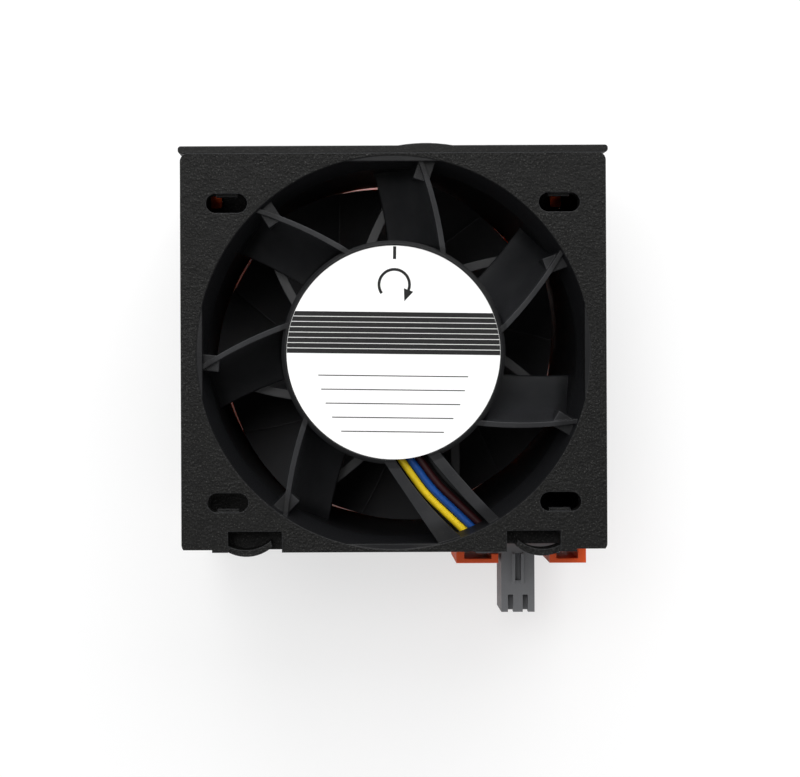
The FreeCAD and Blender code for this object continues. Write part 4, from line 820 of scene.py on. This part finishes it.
class FAN_OT_metals(bpy.types.Operator):
    """Give the shaft, bearings, stator and contacts their metal finishes"""

    bl_idname = "fan.metals"
    bl_label = "Finish metals"

    def execute(self, context):
        tune = context.scene.fan_metals
        ground = metal("ground_steel", tune.steel_colour, 0.24)
        drawn = metal("drawn_steel", tune.steel_colour, 0.34, across=1600.0, along=200.0)
        finishes = (
            (ground, ("rotor_shaft", "shaft_bush")),
            (ground, ("lower_bearing_outer", "lower_bearing_inner")),
            (ground, ("upper_bearing_outer", "upper_bearing_inner")),
            (drawn, ("rotor_yoke", "preload_washer", "retaining_ring")),
            (metal("turned_brass", tune.brass_colour, 0.28), ("bearing_sleeve",)),
            (metal("plated_contact", tune.contact_colour, 0.25, across=900.0), ("connector_contacts",)),
            (metal("can_aluminium", tune.can_colour, 0.3), ("filter_capacitor",)),
            (banded("laminations", tune.core_colour, tune.stack_gap, tune.lamination, 1.0, 0.42),
             ("stator_core",)),
            (banded("winding", tune.copper_colour, tune.strand_gap, tune.strand, 0.6, 0.32),
             ("stator_coils",)),
        )
        for look, nodes in finishes:
            for node in nodes:
                finish_node(node, look)
        ferrite = moulding(
            "bonded_ferrite", tune.magnet_colour, fleck=tune.magnet_fleck, grain=0.0002, edge=0.0001,
            rub_and_light_colour=tune.magnet_edge, rough=0.5, dust=0.0, dust_colour=tune.magnet_dust,
        )
        finish_node("rotor_magnet", ferrite)
        finish_node("circuit_board", board_finish(tune))
        return {"FINISHED"}


class FAN_OT_leads(bpy.types.Operator):
    """Give the four lead wires their coloured sheaths"""

    bl_idname = "fan.leads"
    bl_label = "Finish lead wires"

    def execute(self, context):
        tune = context.scene.fan_leads
        for name in ("yellow", "blue", "red", "black"):
            finish_node(name + "_wire", sheath_finish(name + "_sheath", getattr(tune, name)))
        return {"FINISHED"}


class FAN_OT_hub_print(bpy.types.Operator):
    """Finish the hub label and print its band, mark, empty fields and turning arrow"""

    bl_idname = "fan.hub_print"
    bl_label = "Print hub label"

    def execute(self, context):
        tune = context.scene.fan_print
        finish_node("hub_label", film_finish(tune))
        ink = ink_finish(tune)
        low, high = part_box("hub_label")
        face, radius = high.z, (high.x - low.x) / 2 - tune.rim
        step = (tune.band_high - tune.band_low + tune.stripe_gap) / tune.stripes
        strips = []
        for stripe in range(tune.stripes):
            foot = tune.band_low + stripe * step
            strips.append(chord_strip(radius, foot, foot + step - tune.stripe_gap))
        print_plates("label_band", strips, face, ink, tune)
        half = tune.tick_width / 2
        tick = bar(-half, half, radius - tune.tick_length, radius - tune.tick_inset)
        print_plates("label_tick", [tick], face, ink, tune)
        fields = []
        for line in range(tune.field_count):
            y = tune.band_low - tune.field_start - line * tune.field_step
            reach = tune.field_reach * math.sqrt(radius * radius - y * y)
            fields.append(bar(-reach, reach, y - tune.field_width / 2, y + tune.field_width / 2))
        print_plates("label_fields", fields, face, ink, tune)
        print_plates("label_turn_arrow", arc_arrow(tune), face, ink, tune)
        return {"FINISHED"}


class FAN_OT_stage(bpy.types.Operator):
    """Set up the camera, the white table and the lamps"""

    bl_idname = "fan.stage"
    bl_label = "Set stage"

    def execute(self, context):
        tune = context.scene.fan_stage
        scene = context.scene
        lens = bpy.data.cameras.new("camera")
        lens.lens = tune.camera_lens
        lens.sensor_width = SENSOR_WIDTH
        lens.shift_x = tune.shift_x
        lens.shift_y = tune.shift_y
        lens.clip_start, lens.clip_end = CLIP_NEAR, CLIP_FAR
        camera = bpy.data.objects.new("camera", lens)
        camera.location = tune.camera_place
        camera.rotation_euler = (0, 0, tune.camera_roll)
        scene.collection.objects.link(camera)
        scene.camera = camera
        self.add_floor(scene, tune)
        self.add_lamp(scene, "key", tune.key_power, tune.key_size, tune.key_place)
        self.add_lamp(scene, "fill", tune.fill_power, tune.fill_size, tune.fill_place)
        self.add_sky(scene, tune)
        scene.view_settings.view_transform = "Standard"
        return {"FINISHED"}

    def add_floor(self, scene, tune):
        """The white table under the module."""
        mesh = bpy.data.meshes.new("table")
        half = tune.floor_size / 2
        level = CAD_BOX[0][2] - FLOOR_GAP
        corners = [(-half, -half, level), (half, -half, level), (half, half, level), (-half, half, level)]
        mesh.from_pydata(corners, [], [(0, 1, 2, 3)])
        floor = bpy.data.objects.new("table", mesh)
        material, tree, shader = new_material("table_white", Roughness=0.6)
        texture = effect(tree, "grain", size=0.002, cloud_size=0.2)
        warm = shaded(tune.floor_colour, 0.985)
        feed(tree, shader, Base_Color=tinted(tree, texture.outputs["Cloud"], warm, tune.floor_colour))
        seen = put(tree, "ShaderNodeLightPath").outputs["Is Camera Ray"]
        away = ranged(tree, footprint_distance(tree), 0.0, tune.lift_reach, 0.0, tune.floor_lift)
        lifted = sum_of(tree, "MULTIPLY", seen, away)
        glow = put(tree, "ShaderNodeEmission", {"Color": (1, 1, 1, 1), "Strength": 1.0})
        both = put(tree, "ShaderNodeMixShader", {0: lifted, 1: shader.outputs[0], 2: glow.outputs[0]})
        output = next(node for node in tree.nodes if node.type == "OUTPUT_MATERIAL")
        tree.links.new(both.outputs[0], output.inputs["Surface"])
        mesh.materials.append(material)
        scene.collection.objects.link(floor)
        floor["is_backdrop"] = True

    def add_lamp(self, scene, name, power, size, place):
        """A square soft lamp that looks at the module."""
        light = bpy.data.lights.new(name, "AREA")
        light.energy = power
        light.size = size
        lamp = bpy.data.objects.new(name, light)
        lamp.location = place
        aim = (lamp.location - module_middle()).to_track_quat("Z", "Y")
        lamp.rotation_euler = aim.to_euler()
        scene.collection.objects.link(lamp)

    def add_sky(self, scene, tune):
        """Soft light from the sides that fades towards the crown, white to the eye."""
        world = bpy.data.worlds.new("studio")
        world.use_nodes = True
        tree = world.node_tree
        tree.nodes.clear()
        path = put(tree, "ShaderNodeLightPath")
        seen = sum_of(tree, "MAXIMUM", path.outputs["Is Camera Ray"], path.outputs["Is Transmission Ray"])
        way = put(tree, "ShaderNodeTexCoord").outputs["Generated"]
        height = put(tree, "ShaderNodeSeparateXYZ", {0: way}).outputs["Z"]
        soft = ranged(tree, height, SKY_FADES, SKY_FADED, tune.sky_low, tune.sky_high)
        level = put(tree, "ShaderNodeMix", {0: seen, 2: soft, 3: 1.0}).outputs[0]
        light = put(tree, "ShaderNodeBackground", {"Color": (1, 1, 1, 1), "Strength": level})
        output = tree.nodes.new("ShaderNodeOutputWorld")
        tree.links.new(light.outputs[0], output.inputs["Surface"])
        scene.world = world


class FAN_PT_panel(bpy.types.Panel):
    """Steps that dress the fan module"""

    bl_label = "Fan module"
    bl_space_type = "VIEW_3D"
    bl_region_type = "UI"
    bl_category = "Fan"

    def draw(self, context):
        for step in STEPS:
            self.layout.operator(step.bl_idname)
        for name in SETTINGS:
            group = getattr(context.scene, name)
            box = self.layout.box()
            for key in group.bl_rna.properties.keys():
                if key not in ("rna_type", "name"):
                    box.prop(group, key)


SETTINGS = {
    "fan_mouldings": FanMouldings,
    "fan_blades": FanBlades,
    "fan_metals": FanMetals,
    "fan_leads": FanLeads,
    "fan_print": FanPrint,
    "fan_stage": FanStage,
}
STEPS = (FAN_OT_stage, FAN_OT_mouldings, FAN_OT_blade_lips, FAN_OT_metals, FAN_OT_leads, FAN_OT_hub_print)
CLASSES = (*SETTINGS.values(), *STEPS, FAN_PT_panel)


def register():
    """Registers the classes and hangs the settings on the scene."""
    for kind in CLASSES:
        bpy.utils.register_class(kind)
    for name, kind in SETTINGS.items():
        setattr(bpy.types.Scene, name, PointerProperty(type=kind))


def unregister():
    """Takes the settings and the classes away again."""
    for name in SETTINGS:
        delattr(bpy.types.Scene, name)
    for kind in reversed(CLASSES):
        bpy.utils.unregister_class(kind)


def main():
    """Dresses the module step by step."""
    register()
    bpy.ops.fan.stage()
    bpy.ops.fan.mouldings()
    bpy.ops.fan.blade_lips()
    bpy.ops.fan.metals()
    bpy.ops.fan.leads()
    bpy.ops.fan.hub_print()


if __name__ == "__main__":
    main()
